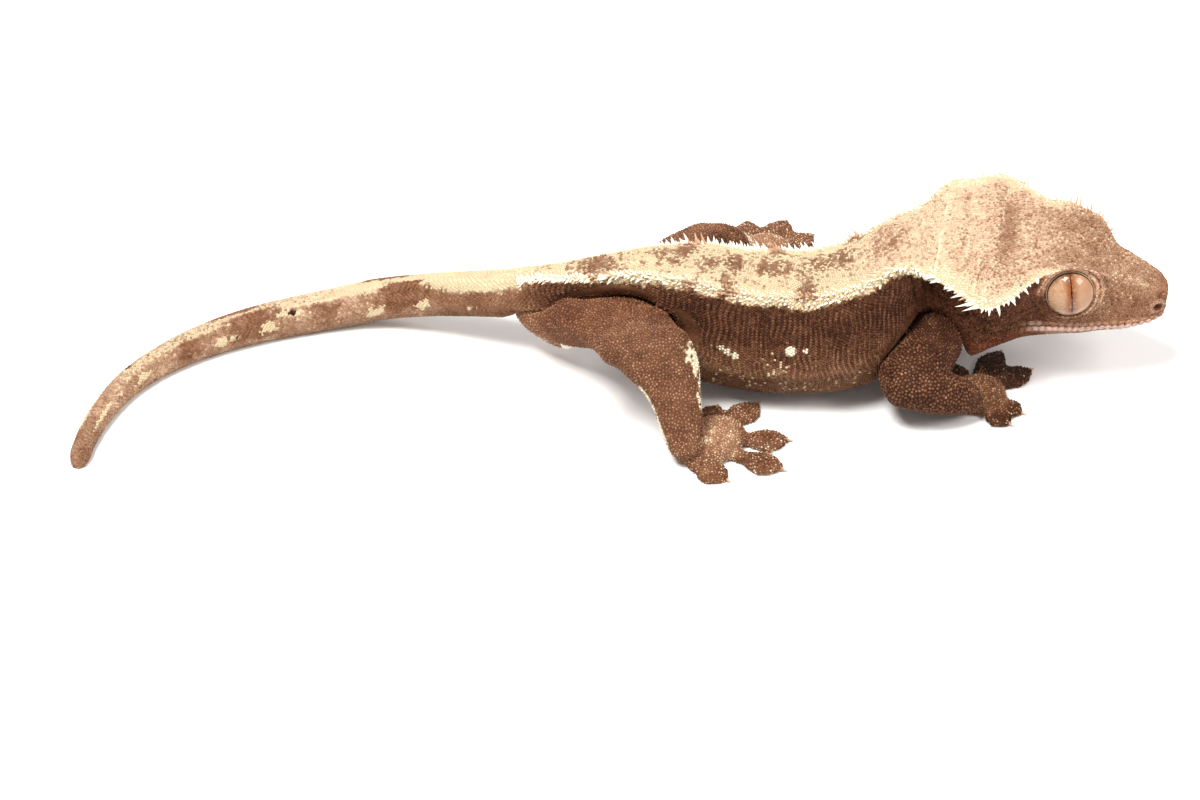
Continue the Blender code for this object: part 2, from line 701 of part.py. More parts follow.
def node_lengths(body, name, first, last):
    """Lengths along the body for a node's rings, with half a gap left at each parted end."""
    per_station = ROWS_PER_STATION.get(name, COMMON_ROWS_PER_STATION)
    count = max(3, round((last - first) * per_station) + 1)
    lengths = np.array([body.length_at(s) for s in np.linspace(first, last, count)])
    if first > 0:
        lengths[0] += 0.5 * GAP
    if last < SNOUT_FIRST:
        lengths[-1] -= 0.5 * GAP
    return lengths


def mirrored(point, side):
    return np.array(point, float) * np.array((1.0, side, 1.0))


def eye_rim(side):
    """The raised ring of skin round an eye."""
    bpy.ops.mesh.primitive_torus_add(
        major_segments=20,
        minor_segments=6,
        major_radius=EYE_RIM_RADIUS * MM,
        minor_radius=EYE_RIM_THICK * MM,
    )
    made = bpy.context.active_object
    ring = object_of("eye_rim", made.data)
    bpy.data.objects.remove(made, do_unlink=True)
    facing = HEAD_TURN @ mirrored(EYE_FACING, side)
    facing /= np.linalg.norm(facing)
    centre = head_point(mirrored(EYE_CENTRE, side)) + EYE_RIM_FORWARD * facing
    ring.data.transform(Matrix.Translation(placed(centre)) @ Matrix(basis_to(facing)).to_4x4())
    return ring


def eye_ball(name, side, grow=0.0):
    """An eyeball, or its socket when grown, flat at the back where the skull wall stands."""
    facing = HEAD_TURN @ mirrored(EYE_FACING, side)
    facing /= np.linalg.norm(facing)
    centre = head_point(mirrored(EYE_CENTRE, side))
    radius = EYE_RADIUS + grow
    eye = ball(name, centre, (radius,) * 3, basis_to(facing), 20, 12)
    slice_off(eye, centre - (EYE_BACK + grow) * facing, -facing)
    return eye


def jaw_region(offset):
    """A wide prism that holds everything below the mouth line and in front of the jaw's back."""
    line = [(along, up + offset) for along, up in MOUTH_LINE]
    line[-1] = (line[-1][0] - offset, line[-1][1])
    line += [(along - offset, up) for along, up in JAW_BACK]
    line += [(along, up) for along, up in JAW_FRONT]
    near = [head_point((along, -20.0, up)) for along, up in line]
    far = [head_point((along, 20.0, up)) for along, up in line]
    count = len(line)
    faces = [tuple(range(count)), tuple(range(2 * count - 1, count - 1, -1))]
    faces += [(i, i + count, (i + 1) % count + count, (i + 1) % count) for i in range(count)]
    prism = mesh_of("jaw_region", near + far, faces)
    face_out(prism)
    return prism


def crest_spines(body, crest, side, chance):
    """The spines of one run on one side, each a little different in size, place and lean."""
    start, end = body.length_at(crest.first), body.length_at(crest.last)
    count = max(2, round((end - start) / crest.spacing) + 1)
    spines = []
    for number in range(count):
        share = number / (count - 1)
        wobble = chance.uniform(-SPINE_SPREAD, SPINE_SPREAD) if 0 < number < count - 1 else 0.0
        length = start + (end - start) * share + crest.spacing * wobble
        point, outward, up = (value[0] for value in body.ridge([length], side))
        ahead = side * np.cross(outward, up)
        rise = crest.rise[0] + share * (crest.rise[1] - crest.rise[0])
        rise = math.radians(rise + 60.0 * chance.uniform(-SPINE_SPREAD, SPINE_SPREAD))
        lean = SPINE_LEAN + chance.uniform(-SPINE_SPREAD, SPINE_SPREAD)
        way = math.cos(rise) * outward + math.sin(rise) * up - lean * ahead
        tall = crest.length * (1.0 + chance.uniform(-SPINE_SPREAD, SPINE_SPREAD))
        spines.append(spike(point, way, tall, crest.width, SPINE_SINK))
    return spines


def vent_spurs(side):
    """The pointed scales that stand beside the vent, on the back of its bulge."""
    centre, radii = np.array(VENT_BULGE), np.array(VENT_BULGE_RADII)
    spurs = []
    for along, length in SPURS:
        share = (along - centre[0]) / radii[0]
        out = side * math.sqrt(1.0 - share * share)
        point = centre + radii * np.array((share, 0.96 * out, -0.28 * abs(out)))
        normal = (point - centre) / radii**2
        way = normal / np.linalg.norm(normal) + np.array((-0.5, 0.0, -0.2))
        spurs.append(spike(point, way, length, SPUR_WIDTH, SPINE_SINK))
    return spurs


def lips(body):
    """A raised ridge along the edge of both jaws, from one corner of the mouth to the other."""
    lengths = [body.length_at(station) for station in LIP_STATIONS]
    centre, left, up = body.frame_at(lengths)
    section = body.section_at(lengths)
    half = [centre + side * (section[:, 7:8] - LIP_SINK) * left + section[:, 8:9] * up for side in (-1, 1)]
    places = np.concatenate([half[0], half[1][::-1]])
    limb_form = Limb(
        places=tuple(map(tuple, places)),
        widths=(LIP_RADIUS,) * len(places),
        depths=(LIP_RADIUS,) * len(places),
        across=tuple(HEAD_TURN[:, 2]),
    )
    return tube("lips", limb_form, around=6)


def look_of(name):
    """The colour and roughness of a node, by what its name starts with."""
    for start, colour, roughness in LOOKS:
        if name.startswith(start):
            return colour, roughness
    return LOOKS[-1][1:]


def finish(obj, colour, roughness):
    """Gives a node its material and smooth shading."""
    material = bpy.data.materials.new(obj.name)
    material.use_nodes = True
    shader = material.node_tree.nodes["Principled BSDF"]
    shader.inputs["Base Color"].default_value = (*colour, 1.0)
    shader.inputs["Roughness"].default_value = roughness
    shader.inputs["Metallic"].default_value = 0.0
    obj.data.materials.clear()
    obj.data.materials.append(material)
    obj.data.shade_smooth()
    obj.data.set_sharp_from_angle(angle=math.radians(50))


def mitre(before, after, point, normal):
    """Parts two segments at a joint's plane, with the gap between them."""
    normal = np.array(normal, float) / np.linalg.norm(normal)
    slice_off(before, np.array(point) - 0.5 * GAP * normal, normal)
    slice_off(after, np.array(point) + 0.5 * GAP * normal, -normal)


def grown_trunk(body):
    """The trunk and head as one form, a little larger, which cuts the roots of the limbs."""
    spans = [node_lengths(body, *node) for node in BODY_NODES if not node[0].startswith("tail")]
    return loft("grown_trunk", body.rings(np.concatenate(spans), *TRUNK_STEPS, grow=LIMB_CLEARANCE))


def limb(names, segments, plan, body):
    """A whole limb: two segments cut at their joint and at the body, and a foot."""
    upper = tube(names[0], segments[0])
    lower = tube(names[1], segments[1])
    end = foot(names[2], plan)
    upper_way = np.subtract(segments[0].places[-1], segments[0].places[-2])
    lower_way = np.subtract(segments[1].places[1], segments[1].places[0])
    upper_way = upper_way / np.linalg.norm(upper_way)
    lower_way = lower_way / np.linalg.norm(lower_way)
    joint = 0.5 * (np.array(segments[0].places[-1]) + np.array(segments[1].places[0]))
    mitre(upper, lower, joint, upper_way + lower_way)
    ankle_way = np.subtract(segments[1].places[-1], segments[1].places[-2])
    ankle_way = ankle_way / np.linalg.norm(ankle_way)
    onward = np.subtract(plan.palm, plan.ankle)
    onward = onward / np.linalg.norm(onward)
    mitre(lower, end, plan.ankle, ankle_way + 0.6 * onward)
    boolean(upper, grown_trunk(body), "DIFFERENCE")
    for piece in (upper, lower, end):
        rest_on_floor(piece)
        keep_largest(piece)
    return [upper, lower, end]


def build():
    body = Body()
    chance = random.Random(SPINE_SEED)
    nodes = {}
    for name, first, last in BODY_NODES:
        steps = TAIL_STEPS if name.startswith("tail") else TRUNK_STEPS
        nodes[name] = loft(name, body.rings(node_lengths(body, name, first, last), *steps))
    for name in ("tail_tip", "tail_middle", "tail_base"):
        rest_on_floor(nodes[name])
        keep_largest(nodes[name])
    bulge = ball("bulge", VENT_BULGE, VENT_BULGE_RADII, None, 14, 8)
    join_all(nodes["hips"], [bulge, *vent_spurs(1), *vent_spurs(-1)])
    head = nodes["head"]
    join_all(head, [eye_rim(1), eye_rim(-1), lips(body)])
    for side in (1, -1):
        boolean(head, eye_ball("socket", side, GAP), "DIFFERENCE")
        nostril = ball("nostril", head_point(mirrored(NOSTRIL, side)), (NOSTRIL_RADIUS,) * 3, HEAD_TURN, 8, 6)
        boolean(head, nostril, "DIFFERENCE")
        ear = ball("ear", head_point(mirrored(EAR, side)), EAR_RADII, HEAD_TURN, 12, 8)
        boolean(head, ear, "DIFFERENCE")
    jaw = head.copy()
    jaw.data = head.data.copy()
    jaw.name = "lower_jaw"
    helpers().objects.link(jaw)
    boolean(jaw, jaw_region(-0.5 * GAP), "INTERSECT")
    boolean(head, jaw_region(0.5 * GAP), "DIFFERENCE")
    nodes["lower_jaw"] = jaw
    for name in sorted({crest.node for crest in CRESTS}):
        runs = [(crest, side) for crest in CRESTS if crest.node == name for side in (1, -1)]
        join_all(nodes[name], [spine for run in runs for spine in crest_spines(body, *run, chance)])
    nodes["eye_left"] = eye_ball("eye_left", 1)
    nodes["eye_right"] = eye_ball("eye_right", -1)
    limbs = []
    limbs += limb(("upper_arm_right", "forearm_right", "hand_right"), RIGHT_ARM, RIGHT_HAND, body)
    limbs += limb(("upper_arm_left", "forearm_left", "hand_left"), LEFT_ARM, LEFT_HAND, body)
    limbs += limb(("thigh_right", "shin_right", "foot_right"), RIGHT_LEG, RIGHT_FOOT, body)
    limbs += limb(("thigh_left", "shin_left", "foot_left"), LEFT_LEG, LEFT_FOOT, body)
    for obj in [*nodes.values(), *limbs]:
        keep_as_part(obj)
        finish(obj, *look_of(obj.name))


for old in list(bpy.data.objects):
    bpy.data.objects.remove(old, do_unlink=True)
build()
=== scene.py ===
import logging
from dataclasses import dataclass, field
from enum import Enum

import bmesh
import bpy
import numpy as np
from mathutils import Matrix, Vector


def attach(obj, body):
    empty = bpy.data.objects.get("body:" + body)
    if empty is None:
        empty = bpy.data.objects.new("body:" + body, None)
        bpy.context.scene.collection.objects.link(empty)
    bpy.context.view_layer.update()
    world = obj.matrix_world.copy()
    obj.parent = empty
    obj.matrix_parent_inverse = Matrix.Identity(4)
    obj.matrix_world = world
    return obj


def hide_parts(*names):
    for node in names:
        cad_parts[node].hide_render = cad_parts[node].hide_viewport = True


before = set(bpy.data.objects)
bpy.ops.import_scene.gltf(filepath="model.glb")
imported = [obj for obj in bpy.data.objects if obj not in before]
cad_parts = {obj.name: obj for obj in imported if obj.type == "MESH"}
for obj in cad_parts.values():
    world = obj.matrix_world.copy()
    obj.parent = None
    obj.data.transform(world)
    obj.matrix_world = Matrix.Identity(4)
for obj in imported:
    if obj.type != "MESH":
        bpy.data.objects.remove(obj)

# The looks of a crested gecko, a still, life-size model that stands on the floor.
#
# One skin covers the whole body. Granular scales, spines, lip plates and claws are solid
# meshes that stand on it. All sizes are in millimetres, in the frame of the body's stations,
# and place() turns them into the model's metres. +X runs from tail to head, +Y is the animal's
# left and +Z is up. Skin and scales take their colours from the same four masks.

Array = np.ndarray

MM = 0.001
ORIGIN = np.array((4.1, 14.5, 0.0))  # the model's own origin in the stations' frame

SNOUT_TIP = np.array((92.7, 7.2, 17.3))
HEAD_YAW, HEAD_PITCH, HEAD_ROLL = -9.0, 8.0, 9.0

RIGHT, LEFT = -1, 1
SIDES = (("left", LEFT), ("right", RIGHT))


def place(points: Array) -> Array:
    """Turns points of the stations' frame into the model's metres."""
    return (np.asarray(points, float) - ORIGIN) * MM


def unit(vectors: Array) -> Array:
    """Scales each vector to length one."""
    return vectors / np.maximum(np.linalg.norm(vectors, axis=-1, keepdims=True), 1e-12)


def ease(value: Array, start: float, end: float) -> Array:
    """Rises smoothly from 0 at start to 1 at end, or falls if end is below start.

    Args:
        value: where to read the step.
        start: the value that gives 0.
        end: the value that gives 1.

    Returns:
        The cubic 3t2 - 2t3 of the clamped share t of the way from start to end.
    """
    share = np.clip((np.asarray(value, float) - start) / (end - start), 0.0, 1.0)
    return share * share * (3.0 - 2.0 * share)


def bump(value: Array, centre: float, width: float) -> Array:
    """A bell of height one round a centre: exp(-((value - centre) / width) squared)."""
    return np.exp(-(((np.asarray(value, float) - centre) / width) ** 2))


def bell(value: Array, height: float, centre: float, width: float) -> Array:
    """A bell of the given height round a centre."""
    return height * bump(value, centre, width)


def turn(yaw: float, pitch: float, roll: float) -> Array:
    """The rotation that looks along yaw, nose down by pitch, left side up by roll.

    Args:
        yaw: degrees about Z.
        pitch: degrees about the turned Y.
        roll: degrees about the turned X.

    Returns:
        The 3 by 3 product of the three turns, in that order.
    """
    a, b, c = np.radians((yaw, pitch, roll))
    spin = np.array([[np.cos(a), -np.sin(a), 0], [np.sin(a), np.cos(a), 0], [0, 0, 1]])
    nod = np.array([[np.cos(b), 0, np.sin(b)], [0, 1, 0], [-np.sin(b), 0, np.cos(b)]])
    lean = np.array([[1, 0, 0], [0, np.cos(c), -np.sin(c)], [0, np.sin(c), np.cos(c)]])
    return spin @ nod @ lean


HEAD_TURN = turn(HEAD_YAW, HEAD_PITCH, HEAD_ROLL)


def head_point(point: Array) -> Array:
    """Places points given in the head's frame: along the snout, out to the left, and up."""
    return SNOUT_TIP + np.asarray(point, float) @ HEAD_TURN.T


def in_head(points: Array) -> Array:
    """Gives points in the head's frame, the reverse of head_point."""
    return (np.asarray(points, float) - SNOUT_TIP) @ HEAD_TURN


def square_to(vectors: Array, axes: Array) -> Array:
    """Vectors with their part along unit axes taken out, scaled to length one."""
    return unit(vectors - (vectors * axes).sum(-1)[..., None] * axes)


def full_turn(count: int) -> Array:
    """Angles spread evenly round a full turn."""
    return np.linspace(0.0, 2.0 * np.pi, count, endpoint=False)


def cubic(
    t: Array, width: Array | float, start: Array, leaving: Array, end: Array, arriving: Array
) -> Array:
    """The cubic with the given values and slopes at both ends of a stretch.

    Args:
        t: shares of the way along the stretch.
        width: the stretch's length.
        start: values at its start.
        leaving: slopes there.
        end: values at its end.
        arriving: slopes there.

    Returns:
        The values at the shares.
    """
    return (
        (1 + 2 * t) * (1 - t) ** 2 * start
        + t * (1 - t) ** 2 * width * leaving
        + t * t * (3 - 2 * t) * end
        + t * t * (t - 1) * width * arriving
    )


def hermite(knots: Array, values: Array, at: Array) -> Array:
    """Smooth values between knots.

    Each stretch is the cubic with the given end values and the slopes of the neighbours,
    weighted by how near they are.

    Args:
        knots: rising parameters, one for each row of values.
        values: one row for each knot.
        at: the parameters to read.

    Returns:
        One row for each parameter.
    """
    step = np.diff(knots)
    slope = np.diff(values, axis=0) / step[:, None]
    weight = (step[1:] / (step[:-1] + step[1:]))[:, None]
    tangent = np.vstack([slope[:1], weight * slope[:-1] + (1 - weight) * slope[1:], slope[-1:]])
    at = np.clip(at, knots[0], knots[-1])
    left = np.clip(np.searchsorted(knots, at, side="right") - 1, 0, len(knots) - 2)
    t = ((at - knots[left]) / step[left])[:, None]
    ends = (values[left], tangent[left], values[left + 1], tangent[left + 1])
    return cubic(t, step[left][:, None], *ends)


def noise(points: Array, size: float, seed: int) -> Array:
    """Smooth random values from -1 to 1 that change over about the given size.

    A random number is drawn for each corner of a cubic lattice from an integer mix of its
    indices, and the eight corners round a point are blended with eased weights.

    Args:
        points: places, one row each.
        size: the lattice step, in the points' units.
        seed: picks one field of values.

    Returns:
        One value for each point.
    """
    scaled = np.asarray(points, float) / size + 1000.0
    cell = np.floor(scaled).astype(np.int64)
    part = scaled - cell
    part = part * part * (3 - 2 * part)
    total = np.zeros(len(scaled))
    for corner in np.ndindex(2, 2, 2):
        at = cell + np.array(corner)
        mix = at[:, 0] * 73856093 ^ at[:, 1] * 19349663 ^ at[:, 2] * 83492791 ^ seed * 2654435761
        mix = (mix ^ (mix >> 13)) * 1274126177 & 0x7FFFFFFF
        value = ((mix ^ (mix >> 16)) & 0xFFFF) / 32767.5 - 1.0
        weight = np.prod(np.where(np.array(corner) == 1, part, 1 - part), axis=1)
        total += value * weight
    return total


def layered_noise(points: Array, size: float, seed: int) -> Array:
    """Three layers of noise, each half the size and half the height of the one before."""
    return sum(noise(points, size / 2**k, seed + k) / 2**k for k in range(3)) / 1.75


BACK_OUT, BACK_RISE = 0.55, 0.28  # where the back's quarter point is, as shares of the way to the crest


@dataclass(frozen=True)
class Section:
    """Half a cross-section: how far out and how far up its named points are."""

    top: float
    ridge_out: float
    ridge_up: float
    under_out: float
    under_up: float
    side_out: float
    side_up: float
    lip_out: float
    lip_up: float
    jaw_out: float
    jaw_up: float
    chin: float

    def row(self) -> tuple:
        """The sizes in the order in which the rings read them."""
        return (
            (0.0, self.top),
            (BACK_OUT * self.ridge_out, self.top + BACK_RISE * (self.ridge_up - self.top)),
            (self.ridge_out, self.ridge_up),
            (self.under_out, self.under_up),
            (self.side_out, self.side_up),
            (self.lip_out, self.lip_up),
            (self.jaw_out, self.jaw_up),
            (0.0, self.chin),
        )


RIDGE, LIP, CHIN = 2, 5, 7  # columns of three of a section's named points


@dataclass(frozen=True)
class Station:
    """A cross-section with its centre and its turn in degrees."""

    centre: tuple
    yaw: float
    pitch: float
    roll: float
    section: Section


def trunk_section(
    half_width: float, top: float, belly: float, crest_out: float, crest_up: float
) -> Section:
    """A section of the trunk: two crest lines on the back, full flanks and a flatter belly.

    Args:
        half_width: half the width at the flanks.
        top: height of the back's middle.
        belly: depth of the belly's middle.
        crest_out: how far out a crest line is.
        crest_up: how far up it is.

    Returns:
        The section.
    """
    return Section(
        top=top,
        ridge_out=crest_out,
        ridge_up=crest_up,
        under_out=crest_out + 0.62 * (half_width - crest_out),
        under_up=0.62 * crest_up,
        side_out=half_width,
        side_up=0.0,
        lip_out=0.93 * half_width,
        lip_up=-0.42 * belly,
        jaw_out=0.62 * half_width,
        jaw_up=-0.86 * belly,
        chin=-belly,
    )


def round_section(radius: float) -> Section:
    """A round section of the tail."""
    return trunk_section(radius, radius, radius, radius * 0.5, radius * 0.87)


def head_station(along: float, *sizes: float) -> Station:
    """A station of the head, at a place along the snout's axis."""
    centre = tuple(head_point(np.array((along, 0.0, 0.0))))
    return Station(centre, HEAD_YAW, HEAD_PITCH, HEAD_ROLL, Section(*sizes))


STATIONS = (
    # Tail, from its blunt tip to its root
    Station((-83.5, -18.1, 0.75), 94, 0, 0, round_section(0.25)),
    Station((-83.5, -17.8, 0.95), 94, 0, 0, round_section(0.85)),
    Station((-83.4, -16.9, 1.2), 93, 0, 0, round_section(1.3)),
    Station((-82.9, -12.9, 1.5), 82, 0, 0, round_section(1.6)),
    Station((-80.9, -5.3, 1.75), 68, 0, 0, round_section(1.85)),
    Station((-77.1, 2.4, 2.0), 56, 0, 0, round_section(2.1)),
    Station((-68.0, 11.4, 2.4), 38, 0, 0, round_section(2.55)),
    Station((-57.3, 17.1, 2.8), 22, 0, 0, round_section(2.95)),
    Station((-51.0, 19.3, 2.95), 17, 0, 0, round_section(3.1)),
    Station((-44.5, 21.0, 3.3), 9, -2, 0, round_section(3.25)),
    Station((-37.0, 21.7, 4.6), -4, -11, 0, round_section(3.35)),
    Station((-30.1, 20.4, 6.4), -16, -15, 0, round_section(3.4)),
    Station((-23.3, 18.0, 8.5), -22, -16, 0, round_section(3.55)),
    Station((-16.5, 15.4, 10.5), -20, -15, 0, round_section(3.8)),
    # Hips, torso and neck
    Station((-9.0, 13.0, 12.4), -17, -9, 0, trunk_section(4.5, 4.4, 4.4, 1.9, 4.0)),
    Station((0.0, 10.9, 12.9), -13, -5, 0, trunk_section(6.2, 6.6, 6.6, 3.1, 6.1)),
    Station((6.6, 9.6, 12.8), -11, -2, 0, trunk_section(7.6, 9.0, 9.0, 3.7, 8.4)),
    Station((13.5, 8.3, 12.4), -9, 1, 0, trunk_section(9.4, 10.3, 10.2, 5.2, 9.6)),
    Station((26.0, 6.3, 11.5), -4, 1, 0, trunk_section(11.5, 10.4, 10.3, 6.3, 9.7)),
    Station((36.0, 6.3, 11.5), 2, -2, 0, trunk_section(11.7, 10.6, 10.3, 6.6, 9.9)),
    Station((43.0, 7.0, 12.8), 3, -4, 0, trunk_section(10.8, 11.2, 11.0, 6.6, 10.5)),
    Station((48.6, 8.9, 15.6), 1, -2, 3, trunk_section(9.6, 11.2, 11.0, 6.8, 10.4)),
    Station(
        (52.5, 11.3, 20.0),
        -3,
        3,
        6,
        Section(6.4, 8.9, 5.0, 8.7, 1.6, 8.6, -3.0, 8.0, -7.5, 6.2, -11.5, -12.8),
    ),
    # Head, from the nape to the snout
    head_station(-38.0, 4.0, 11.6, 2.8, 9.8, 0.2, 8.9, -3.4, 8.6, -7.6, 7.0, -11.2, -12.4),
    head_station(-34.0, 4.4, 13.6, 2.6, 11.4, 0.2, 9.9, -3.6, 10.2, -8.8, 9.4, -12.8, -13.6),
    head_station(-30.0, 5.0, 15.9, 2.6, 13.0, 0.6, 10.8, -3.2, 11.2, -8.8, 10.8, -13.6, -14.2),
    head_station(-26.0, 5.6, 13.8, 3.4, 12.0, 1.4, 10.6, -2.0, 10.8, -6.8, 10.0, -10.9, -12.0),
    head_station(-22.0, 5.8, 9.4, 5.4, 9.8, 3.0, 9.6, -0.8, 9.9, -5.2, 9.0, -8.5, -9.8),
    head_station(-17.0, 5.6, 7.4, 7.2, 7.7, 5.2, 8.6, -0.6, 9.0, -4.7, 8.0, -7.2, -8.4),
    head_station(-12.0, 4.6, 5.6, 5.6, 6.4, 3.0, 7.2, -0.9, 7.8, -4.5, 6.8, -6.5, -7.3),
    head_station(-10.0, 4.0, 4.4, 3.6, 5.7, 1.8, 6.5, -1.2, 7.1, -4.4, 6.1, -6.2, -6.8),
    head_station(-7.0, 3.1, 3.5, 2.5, 4.7, 1.0, 5.5, -1.4, 6.1, -4.4, 5.2, -5.9, -6.5),
    head_station(-3.4, 2.0, 2.5, 1.5, 3.5, 0.2, 4.1, -1.5, 4.5, -4.1, 3.7, -5.3, -5.8),
    head_station(-1.3, 1.0, 1.7, 0.7, 2.6, -0.3, 3.0, -1.7, 3.1, -3.6, 2.5, -4.6, -5.0),
    head_station(-0.4, -0.1, 1.0, -0.3, 1.7, -0.8, 2.0, -1.8, 2.0, -3.0, 1.6, -3.7, -4.0),
    head_station(0.0, -1.5, 0.1, -1.6, 0.2, -1.75, 0.25, -1.9, 0.2, -2.1, 0.1, -2.25, -2.3),
)
HIPS_AT = 13.6  # the station where the tail's rings meet the trunk's finer ones
NAPE_AT = 22.0  # the station where the head's rings start
NECK_AT = 22.9  # the station where the trunk's scales end and the head's begin

EYE_RADIUS = 4.6
EYE_CENTRE = np.array((-16.6, 5.8, 1.4))
EYE_FACING = unit(np.array((0.14, 0.92, 0.36)))
EYE_OPENING = 3.95  # radius of the eyeball's visible disc
NOSTRIL = np.array((-1.7, 3.0, -1.5))
EAR = np.array((-32.0, 10.6, -4.6))
VENT_BULGE = (-6.8, 11.4, 8.0)
VENT_BULGE_RADII = (5.2, 7.6, 4.7)  # half sizes across, along and up
VENT_BULGE_SLANT = (0.27, 0.25)  # how far it leads left and up per step towards the tail
HIP_FILLS = (  # side, centre, half sizes across, along and up, and the way along
    (RIGHT, (4.5, 3.2, 15.0), (4.2, 9.0, 3.2), (1.0, 0.0, 0.0)),
    (RIGHT, (-2.6, 5.2, 12.4), (3.4, 6.4, 4.2), (0.9, -0.3, 0.0)),
    (RIGHT, (-2.8, 6.4, 9.6), (3.4, 6.6, 4.4), (0.9, -0.3, 0.0)),
    (RIGHT, (10.4, 2.2, 14.8), (2.6, 3.4, 2.6), (0.8, -0.6, 0.0)),
    (LEFT, (9.2, 15.6, 14.6), (3.8, 7.4, 3.2), (0.8, 0.6, 0.0)),
    (LEFT, (0.6, 13.7, 12.2), (3.5, 8.4, 4.4), (0.95, -0.05, 0.0)),
)


def mirror(side: int) -> Array:
    """The factors that carry a place on the head's left to the given side."""
    return np.array((1.0, side, 1.0))


def eye_place(side: int) -> tuple:
    """The centre of one eyeball, and the way that it faces."""
    return head_point(EYE_CENTRE * mirror(side)), HEAD_TURN @ (EYE_FACING * mirror(side))


class Body:
    """The loft through all stations, from the tail's tip to the snout.

    A point on it is given by a length along the body and a column round the half ring: 0 on
    the back's middle, 2 on the crest line, 4 on the flank, 5 on the lip and 7 under the chin.
    """

    def __init__(self) -> None:
        """Sets the stations' places, frames and sections out as arrays."""
        self.centres = np.array([s.centre for s in STATIONS])
        steps = np.linalg.norm(np.diff(self.centres, axis=0), axis=1)
        self.knots = np.concatenate([[0.0], np.cumsum(steps)])
        self.frames = np.array([turn(s.yaw, s.pitch, s.roll)[:, 1:].T.ravel() for s in STATIONS])
        self.sections = np.array([np.ravel(s.section.row()) for s in STATIONS])

    def length_at(self, station: Array) -> Array:
        """The length along the body at a station, which may be a fraction between two."""
        return np.interp(station, np.arange(len(self.knots)), self.knots)

    def station_at(self, length: Array) -> Array:
        """The station, as a fraction, at a length along the body."""
        return np.interp(length, self.knots, np.arange(len(self.knots)))

    def frame_at(self, lengths: Array) -> tuple:
        """Centre, left and up vectors at each length."""
        centre = hermite(self.knots, self.centres, lengths)
        pair = hermite(self.knots, self.frames, lengths).reshape(-1, 2, 3)
        left = unit(pair[:, 0])
        return centre, left, square_to(pair[:, 1], left)

    def named_points(self, lengths: Array) -> tuple:
        """Each ring's named points, and the same with a mirrored one added at both ends."""
        named = hermite(self.knots, self.sections, lengths).reshape(-1, 8, 2)
        return named, np.concatenate([named[:, 1:2] * (-1, 1), named, named[:, 6:7] * (-1, 1)], axis=1)

    def profile(self, lengths: Array, columns: Array) -> Array:
        """The half ring's points in the plane of each section.

        Each stretch between two named points is a cubic with the slopes of its neighbours.
        At the crest line and at the lip those slopes break, fully on the head and less
        towards the tail, so that the hood has an edge and the tail is round.

        Args:
            lengths: where the rings stand.
            columns: columns from 0 to 7, the same for all rings.

        Returns:
            An array of rings by columns by (out, up).
        """
        named, ghost = self.named_points(lengths)
        before = ghost[:, 1:-1] - ghost[:, :-2]
        after = ghost[:, 2:] - ghost[:, 1:-1]
        smooth = 0.5 * (before + after)
        station = self.station_at(lengths)
        breaks = np.zeros((len(lengths), 8, 1))
        breaks[:, RIDGE, 0] = ease(station, 14.5, 17.0)
        breaks[:, LIP, 0] = ease(station, 26.0, 28.0)
        arriving = smooth + breaks * (before - smooth)
        leaving = smooth + breaks * (after - smooth)
        left = np.clip(np.floor(columns).astype(int), 0, 6)
        t = (columns - left)[None, :, None]
        return cubic(t, 1.0, named[:, left], leaving[:, left], named[:, left + 1], arriving[:, left + 1])

    def surface(self, lengths: Array, columns: Array) -> Array:
        """Whole rings of points: down the left half and back up the right one.

        Args:
            lengths: where the rings stand.
            columns: columns of the half ring, from 0 to 7 with both ends.

        Returns:
            An array of rings by twice the half ring's intervals by XYZ.
        """
        centre, left, up = self.frame_at(lengths)
        half = self.profile(lengths, columns)
        ring = np.concatenate([half, half[:, -2:0:-1] * np.array((-1.0, 1.0))], axis=1)
        return centre[:, None] + ring[..., :1] * left[:, None] + ring[..., 1:] * up[:, None]


def whole_ring(columns: Array) -> tuple:
    """The column and the side of each point round a whole ring."""
    column = np.concatenate([columns, columns[-2:0:-1]])
    side = np.concatenate([np.full(len(columns), LEFT), np.full(len(columns) - 2, RIGHT)])
    return column, side


def grid_normals(points: Array) -> Array:
    """Outward unit normals of rings: the cross product of the steps round and along."""
    along = np.gradient(points, axis=0)
    around = np.roll(points, -1, axis=1) - np.roll(points, 1, axis=1)
    return unit(np.cross(along, around))


def ring_faces(first: int, rings: int, around: int) -> Array:
    """The quads between rings of points that follow one another, facing outward."""
    grid = first + np.arange(rings * around).reshape(rings, around)
    after = np.roll(grid, -1, axis=1)
    return np.stack([grid[:-1], after[:-1], after[1:], grid[1:]], axis=-1).reshape(-1, 4)


def seam_faces(coarse_first: int, fine_first: int, coarse: int) -> Array:
    """Three triangles for each step of a coarse ring that meets one of twice as many steps."""
    c = np.arange(coarse)
    c0, c1 = coarse_first + c, coarse_first + (c + 1) % coarse
    f0, f1, f2 = (fine_first + (2 * c + k) % (2 * coarse) for k in range(3))
    return np.concatenate([np.stack(t, axis=1) for t in ((c0, c1, f1), (c0, f1, f0), (c1, f2, f1))])


PLACES = ("region", "along", "column", "side")  # what each point of the skin knows of its place
KNOWN = (*PLACES, "seam")  # the same and how near a join the point is


class Region(Enum):
    """What part of the animal a point of the skin belongs to."""

    BODY = 1
    ARM = 2
    LEG = 3
    VENT = 6


@dataclass
class Form:
    """A closed surface with, for each point, its region, its place along and round, and its side."""

    points: Array
    faces: Array | list
    region: Region
    along: Array
    column: Array
    side: Array


def new_object(name: str, data: bpy.types.ID) -> bpy.types.Object:
    """An object that shows a mesh, a lamp or a camera, put into the scene."""
    made = bpy.data.objects.new(name, data)
    bpy.context.scene.collection.objects.link(made)
    return made


